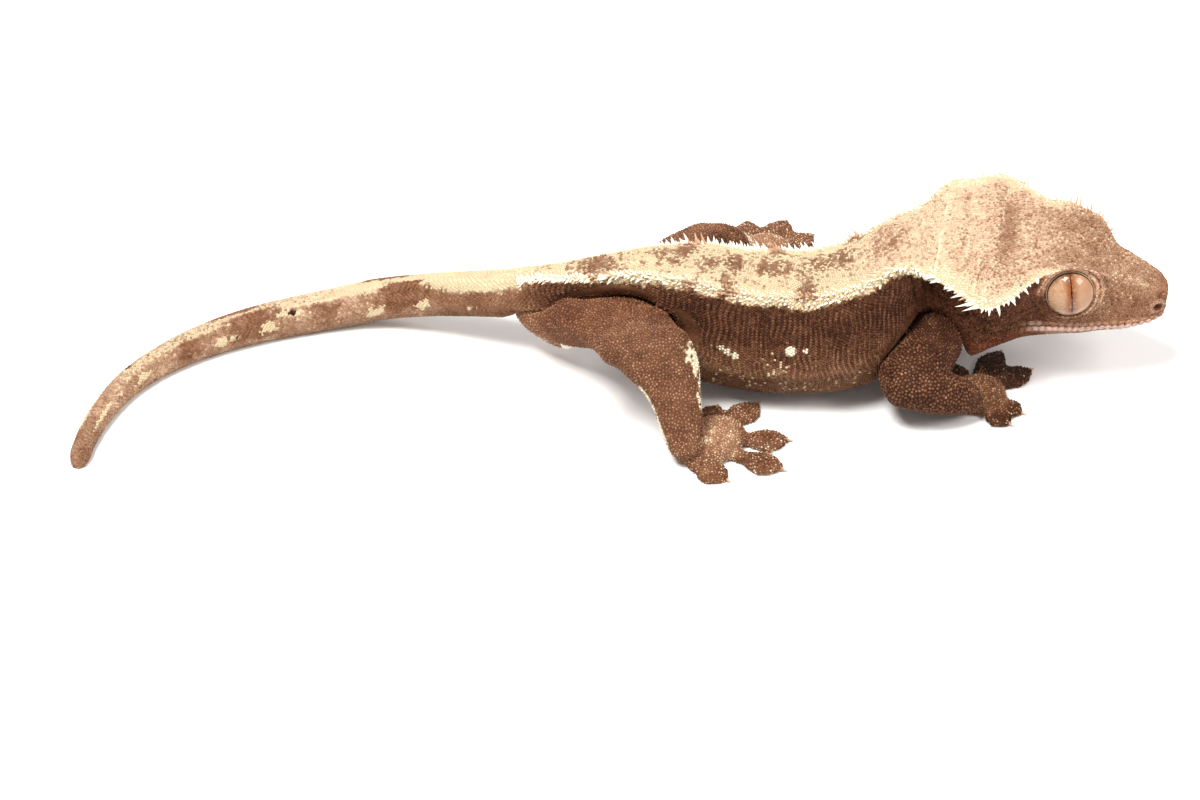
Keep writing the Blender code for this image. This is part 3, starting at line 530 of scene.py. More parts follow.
def mesh_object(name: str, points: Array, faces: Array | list) -> bpy.types.Object:
    """Puts points, as they are, and faces into a mesh and its object into the scene."""
    mesh = bpy.data.meshes.new(name)
    mesh.from_pydata(points.tolist(), [], faces.tolist() if isinstance(faces, np.ndarray) else faces)
    mesh.update()
    return new_object(name, mesh)


def dress(made: bpy.types.Object, material: bpy.types.Material) -> bpy.types.Object:
    """Gives a piece its finish and smooth shading."""
    made.data.materials.clear()
    made.data.materials.append(material)
    made.data.shade_smooth()
    return made


def write_values(mesh: bpy.types.Mesh, name: str, values: Array) -> None:
    """Stores one number, or one colour of four, for each point of a mesh."""
    kind, key = ("FLOAT", "value") if values.ndim == 1 else ("FLOAT_COLOR", "color")
    layer = mesh.attributes.new(name, kind, "POINT")
    layer.data.foreach_set(key, np.ascontiguousarray(values, np.float32).ravel())


def read_values(mesh: bpy.types.Mesh, name: str) -> Array:
    """Reads one number for each point of a mesh."""
    values = np.empty(len(mesh.vertices), np.float32)
    mesh.attributes[name].data.foreach_get("value", values)
    return values.astype(float)


def read_points(mesh: bpy.types.Mesh) -> Array:
    """The places of a mesh's points."""
    points = np.empty(3 * len(mesh.vertices), np.float32)
    mesh.vertices.foreach_get("co", points)
    return points.reshape(-1, 3).astype(float)


def read_triangles(mesh: bpy.types.Mesh) -> Array:
    """A mesh's faces, cut into triangles."""
    mesh.calc_loop_triangles()
    faces = np.empty(3 * len(mesh.loop_triangles), np.int32)
    mesh.loop_triangles.foreach_get("vertices", faces)
    return faces.reshape(-1, 3)


def read_edges(mesh: bpy.types.Mesh) -> Array:
    """The pairs of points that a mesh's edges join."""
    edges = np.empty(2 * len(mesh.edges), np.int32)
    mesh.edges.foreach_get("vertices", edges)
    return edges.reshape(-1, 2)


def both_ways(edges: Array) -> Array:
    """Each edge once in each direction, as rows of a point and its neighbour."""
    return np.concatenate([edges, edges[:, ::-1]])


def neighbour_mean(values: Array, edges: Array) -> Array:
    """The mean of each point's neighbours; a point without any keeps its own value.

    Args:
        values: one value, or one row of them, for each point.
        edges: the pairs of points that are neighbours.

    Returns:
        The means, in the shape of the values.
    """
    count = len(values)
    here, there = both_ways(edges).T
    total = np.bincount(here, minlength=count)[:, None]
    flat = values.reshape(count, -1)
    sums = np.stack([np.bincount(here, column[there], count) for column in flat.T], axis=1)
    return np.where(total > 0, sums / np.maximum(total, 1), flat).reshape(values.shape)


def evaluated_mesh(made: bpy.types.Object) -> bpy.types.Mesh:
    """A new mesh with an object's modifiers applied; the object and its old mesh are removed.

    Args:
        made: the object, which is used up.

    Returns:
        The mesh with its modifiers applied.
    """
    bpy.context.view_layer.update()
    graph = bpy.context.evaluated_depsgraph_get()
    result = bpy.data.meshes.new_from_object(made.evaluated_get(graph))
    spare = made.data
    bpy.data.objects.remove(made, do_unlink=True)
    bpy.data.meshes.remove(spare)
    return result


NECK_FOLDS = ((20.9, 0.3), (21.5, 0.55), (22.1, 0.6), (22.7, 0.55), (23.4, 0.35))  # station and depth
NECK_FOLD_SLANT = 1.9  # millimetres that a neck fold moves ahead for each column down
EYE_RIM = (0.24, 4.45, 0.26)  # height, radius and width of the raised rim round an eye
LID_RIDGE = (0.3, 5.35, 0.32)  # the same of the swelling outside it
LID_GROOVE = (0.16, 4.95, 0.16)  # depth, radius and width of the groove between the two
NOSTRIL_SIZE = (1.15, 1.0, 0.85)  # half sizes along, out and up
EAR_SIZE = (0.75, 2.2, 1.5)


@dataclass
class Trunk:
    """Tail, trunk and head as one closed form with its folds, lips, nostrils and sockets.

    Steps are the millimetres between rings. Intervals are the columns between the named points
    of the half ring, from the back's middle to the chin. Crowding is how much closer the columns
    stand at the mouth, and the rings at the snout, as the power of an evenly rising share.
    """

    body: Body
    tail_step: float = 0.52
    trunk_step: float = 0.46
    head_step: float = 0.33
    intervals: tuple = (9, 11, 13, 12, 15, 12, 8)
    mouth_crowding: float = 1.7
    snout_crowding: float = 1.08
    points: Array = field(init=False)
    normals: Array = field(init=False)
    lengths: Array = field(init=False)
    columns: Array = field(init=False)

    def __post_init__(self) -> None:
        """Lays the fine grid of trunk and head and works its features in."""
        fractions = []
        for index, count in enumerate(self.intervals):
            share = np.arange(count) / count
            if index == LIP - 1:
                share = 1.0 - (1.0 - share) ** self.mouth_crowding
            if index == LIP:
                share = share**self.mouth_crowding
            fractions.append(index + share)
        self.columns = np.concatenate([*fractions, [float(CHIN)]])
        start, nape, end = self.body.length_at((HIPS_AT, NAPE_AT, len(STATIONS) - 1)).tolist()
        trunk = np.linspace(start, nape, round((nape - start) / self.trunk_step), endpoint=False)
        share = np.linspace(0.0, 1.0, round((end - nape) / self.head_step) + 1)
        head = nape + (end - nape) * (1.0 - (1.0 - share) ** self.snout_crowding)
        self.lengths = np.concatenate([trunk, head[:-1]])
        points = self.body.surface(self.lengths, self.columns)
        normals = grid_normals(points)
        rise = self.folds(points, whole_ring(self.columns)[0][None, :])
        points = points + rise[..., None] * normals
        for eye_side in (LEFT, RIGHT):
            points = self.eye_socket(points, eye_side)
        self.points = points
        self.normals = grid_normals(points)

    def folds(self, points: Array, column: Array) -> Array:
        """How far each point rises above the plain loft.

        Folds and ridges are bells across a line of constant length or column, faded out at
        their ends; pits are eased discs round a point of the head.

        Args:
            points: the grid's points.
            column: their columns, as a row.

        Returns:
            The rise in millimetres, rings by columns.
        """
        station = self.body.station_at(self.lengths)[:, None]
        flat = points.reshape(-1, 3)
        soft = layered_noise(flat, 6.0, 11).reshape(points.shape[:2])
        fine = layered_noise(flat, 1.6, 12).reshape(points.shape[:2])
        on_head = ease(station, 23.0, 24.0)
        local = in_head(points)
        rise = 0.16 * soft * ease(station, 14.0, 17.0) * (1 - 0.6 * on_head) + 0.05 * fine
        rise = self.hood_folds(rise, local, ease(column, 1.9, 1.6) * on_head)
        rise = self.skin_folds(rise, station, column, soft)
        rise = self.mouth_line(rise, station, column)
        canthus = bump(column, RIDGE, 0.5) * ease(local[..., 0], -10.5, -8.0)
        rise = rise + 0.15 * (canthus * ease(local[..., 0], -1.0, -2.5))
        rise = self.pits(rise, local)
        lash_groove = bump(column, 2.45, 0.16) * ease(local[..., 0], -21.5, -19.5)
        return rise - 0.3 * (lash_groove * ease(local[..., 0], -10.0, -12.0))

    def hood_folds(self, rise: Array, local: Array, hood: Array) -> Array:
        """Adds the hood's rear edge, the crescent behind it and the fold on its right.

        Args:
            rise: the rise so far.
            local: the points in the head's frame.
            hood: one on the hood and zero off it.

        Returns:
            The rise with the folds.
        """
        along, out = local[..., 0], local[..., 1]
        rise = rise + 0.42 * bump(along + 0.5 * np.abs(out) * 0.08, -29.6, 0.9) * hood
        rise = rise - 0.3 * bump(along, -27.6, 1.1) * hood
        crescent = -33.6 - 1.3 * ((out + 5.2) / 4.5) ** 2
        fade = ease(np.abs(out + 5.0), 5.5, 3.5)
        rise = rise + fade * (bell(along, 0.7, crescent, 0.42) - bell(along, 0.5, crescent + 0.95, 0.5))
        second = -31.2 + 0.05 * out
        reach = ease(np.abs(out + 9.5), 4.8, 3.4)
        fold = bell(along, 0.5, second, 0.4) - bell(along, 0.4, second + 0.9, 0.45)
        return rise + hood * reach * fold

    def skin_folds(self, rise: Array, station: Array, column: Array, soft: Array) -> Array:
        """Adds the slanting folds of the neck and the long one low on each flank.

        Args:
            rise: the rise so far.
            station: the rings' stations, as a column.
            column: the points' columns, as a row.
            soft: soft noise, which makes the folds wander.

        Returns:
            The rise with the folds.
        """
        length = self.lengths[:, None]
        below = ease(column, 2.05, 2.5) * ease(column, 6.6, 5.4)
        for at, depth in NECK_FOLDS:
            line = self.body.length_at(at) + NECK_FOLD_SLANT * (column - 3.0) + 0.35 * soft
            rise = rise + below * depth * (bell(length, 0.45, line + 0.75, 0.5) - bump(length, line, 0.42))
        belly_fold = bump(column, LIP + 0.12 * soft, 0.16) * ease(station, 16.0, 17.5)
        return rise - 0.28 * (belly_fold * ease(station, 21.5, 20.0))

    def mouth_line(self, rise: Array, station: Array, column: Array) -> Array:
        """Adds the mouth's groove, its fading corner, and a swelling on each lip.

        Args:
            rise: the rise so far.
            station: the rings' stations, as a column.
            column: the points' columns, as a row.

        Returns:
            The rise with the mouth.
        """
        mouth = ease(station, 26.7, 27.4)
        corner = 0.45 * ease(station, 24.8, 25.6) * ease(station, 27.4, 26.8)
        lips = ease(station, 34.9, 34.2)
        rise = rise - (0.5 * mouth + 0.3 * corner) * bump(column, LIP, 0.055)
        swelling = bell(column, 0.2, LIP - 0.2, 0.13) + bell(column, 0.22, LIP + 0.2, 0.13)
        return rise + mouth * lips * swelling

    def pits(self, rise: Array, local: Array) -> Array:
        """Sinks the nostrils and the ear openings, each with a raised border.

        Args:
            rise: the rise so far.
            local: the points in the head's frame.

        Returns:
            The rise with the pits.
        """
        for each in (LEFT, RIGHT):
            away = np.linalg.norm((local - NOSTRIL * mirror(each)) / NOSTRIL_SIZE, axis=-1)
            rise = rise - ease(away, 0.78, 0.3) + bell(away, 0.2, 1.1, 0.35)
            away = np.linalg.norm((local - EAR * mirror(each)) / EAR_SIZE, axis=-1)
            rise = rise - ease(away, 1.0, 0.45) + bell(away, 0.15, 1.2, 0.3)
        return rise

    def eye_socket(self, points: Array, side: int) -> Array:
        """Lowers the skin behind one eyeball and leaves a raised rim round it.

        Within the rim's radius each point moves along the eye's own axis to the height of a
        flat disc, which the eyeball's dome pierces, so the edge of the eye is a clean circle.

        Args:
            points: the grid's points.
            side: the eye's side.

        Returns:
            The moved points.
        """
        centre, facing = eye_place(side)
        away = points - centre
        height = away @ facing
        radius = np.linalg.norm(away - height[..., None] * facing, axis=-1)
        disc = np.sqrt(EYE_RADIUS**2 - EYE_OPENING**2)
        rim = disc + bell(radius, *EYE_RIM) + 0.02
        outside = ease(height, 0.2, 1.2)
        share = ease(radius, 5.0, 4.3) * outside
        ridge = (bell(radius, *LID_RIDGE) - bell(radius, *LID_GROOVE)) * outside
        return points + (share * (rim - height) + ridge)[..., None] * facing

    def at(self, lengths: Array, columns: Array, sides: Array) -> tuple:
        """Places on the fine grid, straight between its four nearest points.

        Args:
            lengths: lengths along the body.
            columns: columns from 0 to 7.
            sides: side of the body for each.

        Returns:
            Points, outward normals and the ways ahead, a row for each place.
        """
        rings, around = self.points.shape[:2]
        half = len(self.columns) - 1
        row = np.interp(lengths, self.lengths, np.arange(rings))
        low = np.clip(np.floor(row).astype(int), 0, rings - 2)
        share = (row - low)[:, None]
        spot = np.interp(columns, self.columns, np.arange(half + 1))
        spot = np.where(sides > 0, spot, 2 * half - spot) % around
        first = np.floor(spot).astype(int) % around
        second = (first + 1) % around
        over = (spot - np.floor(spot))[:, None]

        def on_ring(grid: Array, ring: Array) -> Array:
            """One grid's values on some rings, between two columns."""
            return grid[ring, first] * (1 - over) + grid[ring, second] * over

        def blend(grid: Array) -> Array:
            """One grid's values at the places."""
            return on_ring(grid, low) * (1 - share) + on_ring(grid, low + 1) * share

        ahead = unit(on_ring(self.points, low + 1) - on_ring(self.points, low))
        return blend(self.points), unit(blend(self.normals)), ahead

    def form(self) -> Form:
        """The whole closed form, with the tail's coarser rings joined to the trunk's."""
        coarse = self.columns[::2]
        start = float(self.body.length_at(HIPS_AT))
        count = round(start / self.tail_step)
        tail_lengths = np.linspace(0.0, start, count, endpoint=False) + 0.02
        tail = self.body.surface(tail_lengths, coarse)
        normals = grid_normals(tail)
        flat = tail.reshape(-1, 3)
        rise = 0.05 * layered_noise(flat, 3.0, 21) + 0.04 * layered_noise(flat, 1.2, 22)
        tail = tail + rise.reshape(tail.shape[:2])[..., None] * normals
        rings, around = tail.shape[:2]
        fine_rings, fine_around = self.points.shape[:2]
        first = rings * around
        last = first + fine_rings * fine_around
        ends = [tail[0].mean(axis=0), self.points[-1].mean(axis=0)]
        points = np.concatenate([tail.reshape(-1, 3), self.points.reshape(-1, 3), ends])
        c = np.arange(around)
        d = np.arange(fine_around)
        tip = np.stack([np.full(around, last), (c + 1) % around, c], axis=1)
        final = last - fine_around
        snout = [np.full(fine_around, last + 1), final + d, final + (d + 1) % fine_around]
        faces = [
            *ring_faces(0, rings, around).tolist(),
            *ring_faces(first, fine_rings, fine_around).tolist(),
            *seam_faces(first - around, first, around).tolist(),
            *tip.tolist(),
            *np.stack(snout, axis=1).tolist(),
        ]
        coarse_column, coarse_side = whole_ring(coarse)
        column, side = whole_ring(self.columns)
        along = np.concatenate([np.repeat(tail_lengths, around), np.repeat(self.lengths, fine_around)])
        return Form(
            points=points,
            faces=faces,
            region=Region.BODY,
            along=np.concatenate([along, [0.0, self.lengths[-1]]]),
            column=np.concatenate([np.tile(coarse_column, rings), np.tile(column, fine_rings), [4.0, 4.9]]),
            side=np.concatenate([np.tile(coarse_side, rings), np.tile(side, fine_rings), [1, 1]]),
        )


DOME_SHARES = np.array((0.2, 0.4, 0.6, 0.78, 0.9, 0.97, 0.995))  # where a dome's rings stand on its reach
DOME_REACH = 0.85  # how far a dome stands out, as a share of the smaller half size
TOE_SHARES = np.array((0.0, 0.18, 0.42, 0.66, 0.84, 0.95, 1.0))  # the way along a toe
TOE_WIDTHS = np.array((0.6, 0.66, 1.2, 1.42, 0.98, 0.44, 0.1))[:, None]  # half width there, as a factor
TOE_HEIGHTS = np.array((1.1, 0.95, 0.78, 0.66, 0.56, 0.46, 0.36))[:, None]  # height there, as a factor


@dataclass(frozen=True)
class Segment:
    """A tapered length of limb: places with a half width, a half depth and the width's way."""

    places: tuple
    widths: tuple
    depths: tuple
    across: tuple

    def surface(self, rings: int = 30, around: int = 36) -> Array:
        """A closed tube with domed ends.

        Rings are ellipses square to a smooth path through the places. At each end they
        shrink as the square root of one minus the squared share of the dome's reach.

        Args:
            rings: rings between the domes.
            around: points of each ring.

        Returns:
            An array of rings by points by XYZ.
        """
        places = np.array(self.places, float)
        steps = np.linalg.norm(np.diff(places, axis=0), axis=1)
        knots = np.concatenate([[0.0], np.cumsum(steps)])
        table = np.column_stack([places, self.widths, self.depths])
        rows = hermite(knots, table, np.linspace(0.0, knots[-1], rings))
        rows = np.column_stack([rows, unit(np.gradient(rows[:, :3], axis=0))])
        domes = []
        for end, sign in ((rows[0], -1.0), (rows[-1], 1.0)):
            dome = np.repeat(end[None], len(DOME_SHARES), axis=0)
            dome[:, :3] += sign * DOME_REACH * end[3:5].min() * DOME_SHARES[:, None] * end[5:]
            dome[:, 3:5] *= np.sqrt(1.0 - DOME_SHARES**2)[:, None]
            domes.append(dome)
        rows = np.concatenate([domes[0][::-1], rows, domes[1]])
        centre, width, depth, ahead = rows[:, :3], rows[:, 3], rows[:, 4], rows[:, 5:]
        across = np.array(self.across, float)
        side = unit(across - (ahead @ across)[:, None] * ahead)
        rise = np.cross(ahead, side)
        angle = full_turn(around)[None, :, None]
        wide = np.cos(angle) * side[:, None] * width[:, None, None]
        deep = np.sin(angle) * rise[:, None] * depth[:, None, None]
        return centre[:, None] + wide + deep


@dataclass(frozen=True)
class Toe:
    """A toe with a leaf-shaped pad: its base, its tip and the pad's width."""

    base: tuple
    tip: tuple
    width: float
    thickness: float = 1.75

    def surface(self, rings: int = 26, around: int = 24) -> Array:
        """A low leaf, flat below and ridged along its top.

        Half width and height follow smooth curves of the share of the way to the tip. Round
        the ring, height is a rounded roof over a flat sole.

        Args:
            rings: rings from base to tip.
            around: points of each ring.

        Returns:
            An array of rings by points by XYZ.
        """
        share = np.linspace(0.0, 1.0, rings)
        half = hermite(TOE_SHARES, TOE_WIDTHS, share)[:, 0]
        tall = hermite(TOE_SHARES, TOE_HEIGHTS, share)[:, 0]
        base = np.array((*self.base, 0.0))
        ahead = np.array((*self.tip, 0.0)) - base
        side = unit(np.cross((0.0, 0.0, 1.0), ahead))
        angle = full_turn(around)
        out = np.sign(np.cos(angle)) * np.abs(np.cos(angle)) ** 0.8
        rise = np.abs(np.sin(angle))
        up = np.where(np.sin(angle) > 0, 0.2 + 0.8 * rise**1.4, 0.2 - 0.2 * rise)
        middle = base + share[:, None] * ahead
        wide = (0.5 * self.width * half)[:, None, None] * out[None, :, None] * side
        high = (self.thickness * tall)[:, None] * up[None, :]
        points = middle[:, None] + wide
        points[..., 2] += high
        return points


@dataclass(frozen=True)
class Foot:
    """A palm, with its half sizes and the way it points, and its five toes."""

    palm: tuple
    radii: tuple
    along: tuple
    toes: tuple


@dataclass(frozen=True)
class Leg:
    """A whole limb: two segments and a foot, with the region that it belongs to."""

    name: str
    side: int
    upper: Segment
    lower: Segment
    foot: Foot
    region: Region


LIMBS = (
    Leg(
        "arm_right",
        RIGHT,
        Segment(
            ((54.0, 3.2, 9.8), (52.3, -0.8, 8.9), (49.7, -5.0, 8.1)),
            (4.9, 4.9, 4.8),
            (5.2, 4.8, 4.7),
            (0.6, -0.3, 0.7),
        ),
        Segment(
            ((49.4, -5.9, 8.3), (54.4, -5.6, 6.2), (59.4, -3.8, 3.8)),
            (4.4, 4.0, 3.3),
            (4.2, 3.5, 2.6),
            (0.3, -0.9, 0.2),
        ),
        Foot(
            (61.6, -0.4, 1.4),
            (4.2, 4.9, 2.7),
            (0.9, 0.35, 0.0),
            (
                Toe((61.8, 3.4), (66.9, 12.8), 3.8),
                Toe((63.4, 2.4), (71.4, 7.8), 4.2),
                Toe((63.6, -1.4), (69.0, -4.0), 3.8),
                Toe((62.2, -3.4), (66.8, -7.0), 3.5),
                Toe((59.8, 2.8), (58.4, 9.2), 3.2),
            ),
        ),
        Region.ARM,
    ),
    Leg(
        "arm_left",
        LEFT,
        Segment(
            ((57.5, 13.0, 14.5), (54.4, 18.4, 11.8), (50.6, 23.4, 9.2)),
            (4.6, 4.5, 4.2),
            (4.9, 4.5, 4.1),
            (0.6, 0.3, 0.7),
        ),
        Segment(
            ((50.4, 23.8, 9.0), (55.6, 25.2, 6.8), (60.8, 26.2, 3.6)),
            (4.0, 3.6, 2.9),
            (3.9, 3.3, 2.5),
            (0.1, 0.9, 0.2),
        ),
        Foot(
            (63.6, 27.0, 1.3),
            (4.3, 4.5, 2.7),
            (0.98, 0.18, 0.0),
            (
                Toe((65.6, 25.0), (71.6, 20.4), 3.4),
                Toe((66.8, 26.6), (74.6, 25.4), 3.8),
                Toe((66.6, 28.6), (73.4, 32.2), 3.9),
                Toe((64.8, 30.2), (68.6, 36.6), 3.6),
                Toe((61.8, 29.8), (60.4, 35.6), 3.2),
            ),
        ),
        Region.ARM,
    ),
    Leg(
        "leg_right",
        RIGHT,
        Segment(
            ((4.2, 7.0, 11.6), (5.2, 1.2, 13.2), (6.9, -4.6, 15.2)),
            (8.6, 8.5, 7.9),
            (4.3, 4.2, 3.9),
            (1.0, 0.15, 0.1),
        ),
        Segment(
            (
                (8.8, -6.2, 15.2),
                (10.9, -8.9, 12.2),
                (12.2, -11.6, 9.1),
                (13.1, -14.3, 6.0),
                (13.9, -16.2, 3.4),
            ),
            (6.6, 5.2, 4.0, 3.4, 2.9),
            (4.1, 3.8, 3.4, 3.0, 2.5),
            (1.0, 0.2, 0.1),
        ),
        Foot(
            (17.6, -12.6, 1.4),
            (4.8, 6.6, 2.9),
            (0.75, 0.66, 0.0),
            (
                Toe((14.6, -17.4), (20.4, -21.3), 4.2),
                Toe((21.6, -15.2), (29.4, -18.6), 4.3),
                Toe((22.0, -11.4), (30.6, -11.0), 4.3),
                Toe((19.8, -8.4), (25.9, -1.2), 4.0),
                Toe((16.8, -8.4), (19.2, -1.9), 3.5),
            ),
        ),
        Region.LEG,
    ),
    Leg(
        "leg_left",
        LEFT,
        Segment(
            ((5.4, 13.4, 11.8), (12.0, 18.0, 13.6), (18.4, 22.0, 14.8)),
            (6.4, 6.0, 5.2),
            (4.4, 4.2, 3.9),
            (0.7, -0.7, -0.2),
        ),
        Segment(
            ((19.4, 22.8, 14.6), (21.0, 26.6, 11.2), (22.6, 30.4, 7.4), (24.2, 34.0, 3.6)),
            (5.4, 4.9, 3.9, 2.9),
            (3.9, 3.5, 3.0, 2.5),
            (0.9, -0.3, 0.3),
        ),
        Foot(
            (27.6, 38.4, 1.4),
            (4.6, 6.0, 2.9),
            (0.7, 0.71, 0.0),
            (
                Toe((30.0, 36.6), (37.8, 38.6), 3.9),
                Toe((30.6, 40.4), (37.0, 46.2), 4.2),
                Toe((28.8, 42.4), (32.6, 50.4), 4.2),
                Toe((25.6, 42.0), (25.8, 50.2), 4.0),
                Toe((24.2, 38.2), (17.8, 42.0), 3.5),
            ),
        ),
        Region.LEG,
    ),
)


BALL_RINGS, BALL_AROUND = 26, 40
BALL_REACH = 0.985  # the share of the half turn between the poles that a ball's rings take up


def ellipsoid(centre: Array, radii: Array, along: Array = (1.0, 0.0, 0.0)) -> Array:
    """A closed ball of rings, stretched along its own axes and turned about Z.

    Args:
        centre: its middle.
        radii: half sizes across, along and up.
        along: the level way that its second size follows.

    Returns:
        An array of rings by points by XYZ, from its lowest ring to its highest.
    """
    ahead = unit(np.array(along, float))
    across = np.cross(ahead, (0.0, 0.0, 1.0))
    rise = np.linspace(-0.5, 0.5, BALL_RINGS)[:, None] * np.pi * BALL_REACH
    angle = full_turn(BALL_AROUND)[None, :]
    out = (np.cos(rise) * np.cos(angle) * radii[0])[..., None]
    on = (np.cos(rise) * np.sin(angle) * radii[1])[..., None]
    up = (np.sin(rise) * radii[2] + 0.0 * angle)[..., None]
    return np.asarray(centre, float) + out * across + on * ahead + up * (0.0, 0.0, 1.0)


def closed_rings(points: Array, first: int = 0) -> tuple:
    """Points and triangles of rings closed by a fan at each end, facing outward.

    Args:
        points: rings by points by XYZ.
        first: the number of the first point.

    Returns:
        The points with one more at each end, and the triangles.
    """
    rings, around = points.shape[:2]
    body = np.concatenate([points.reshape(-1, 3), points[:1].mean(axis=1), points[-1:].mean(axis=1)])
    c = np.arange(around)
    low, high = rings * around, rings * around + 1
    last = (rings - 1) * around
    quads = ring_faces(0, rings, around)
    faces = np.concatenate([quads[:, (0, 1, 2)], quads[:, (0, 2, 3)]])
    caps = [np.stack([np.full(around, low), (c + 1) % around, c], axis=1)]
    caps.append(np.stack([np.full(around, high), last + c, last + (c + 1) % around], axis=1))
    faces = np.concatenate([faces, *caps])
    a, b, d = body[faces[:, 0]], body[faces[:, 1]], body[faces[:, 2]]
    if np.sum(a * np.cross(b, d)) < 0:
        faces = faces[:, ::-1]
    return body, faces + first


# Steps towards the neighbours' mean; those below zero undo the shrinking of the ones above it
EVEN_STEPS = (0.6, -0.62, 0.6, -0.62, 0.6, -0.62, 0.55, -0.5, 0.5, -0.45)


def fused_limb(leg: Leg, voxel: float) -> Form:
    """One limb with its foot as a single surface, remade on an even lattice and smoothed.

    Args:
        leg: the limb.
        voxel: the lattice step in millimetres.

    Returns:
        The limb as a closed form.
    """
    surfaces = [leg.upper.surface(), leg.lower.surface()]
    surfaces.append(ellipsoid(leg.foot.palm, leg.foot.radii, leg.foot.along))
    surfaces += [toe.surface() for toe in leg.foot.toes]
    points, faces, first = [], [], 0
    for rings in surfaces:
        new, new_faces = closed_rings(rings, first)
        points.append(new)
        faces.append(new_faces)
        first += len(new)
    made = mesh_object(leg.name, np.concatenate(points), np.concatenate(faces))
    remesh = made.modifiers.new("Even", "REMESH")
    remesh.mode = "VOXEL"
    remesh.voxel_size = voxel
    mesh = evaluated_mesh(made)
    points, edges = read_points(mesh), read_edges(mesh)
    for step in EVEN_STEPS:
        points = points + step * (neighbour_mean(points, edges) - points)
    points[:, 2] = np.maximum(points[:, 2], 0.0)
    faces = read_triangles(mesh)
    bpy.data.meshes.remove(mesh)
    segment, share, edge = along_path(points, leg_path(leg), leg)
    upper, lower = len(leg.upper.places), len(leg.lower.places)
    joints = np.array((0.0, upper - 0.5, upper + lower - 1.0, upper + lower))
    return Form(
        points=points,
        faces=faces,
        region=leg.region,
        along=np.interp(segment + share, joints, np.arange(4.0)),
        column=edge,
        side=np.full(len(points), leg.side),
    )


def leg_path(leg: Leg) -> Array:
    """The limb's middle line: the places of both segments and then the palm."""
    return np.array([*leg.upper.places, *leg.lower.places, leg.foot.palm], float)


def along_path(points: Array, path: Array, leg: Leg) -> tuple:
    """The nearest stretch of a limb's middle line to each point.

    Args:
        points: places on the limb.
        path: the middle line's places.
        leg: the limb, for the way in which its width lies.

    Returns:
        The stretch's index, the share along it, and the sine of the turn round the limb from
        its front edge (-1 at the rear edge, 1 at the front edge).
    """
    start, step = path[:-1], np.diff(path, axis=0)
    away = points[:, None] - start[None]
    share = np.clip((away * step).sum(-1) / (step * step).sum(-1), 0.0, 1.0)
    gap = away - share[..., None] * step
    distance = np.linalg.norm(gap, axis=-1)
    nearest = distance.argmin(axis=1)
    rows = np.arange(len(points))
    across = unit(np.array(leg.lower.across, float))
    edge = (gap[rows, nearest] @ across) / np.maximum(distance[rows, nearest], 1e-6)
    return nearest.astype(float), share[rows, nearest], edge


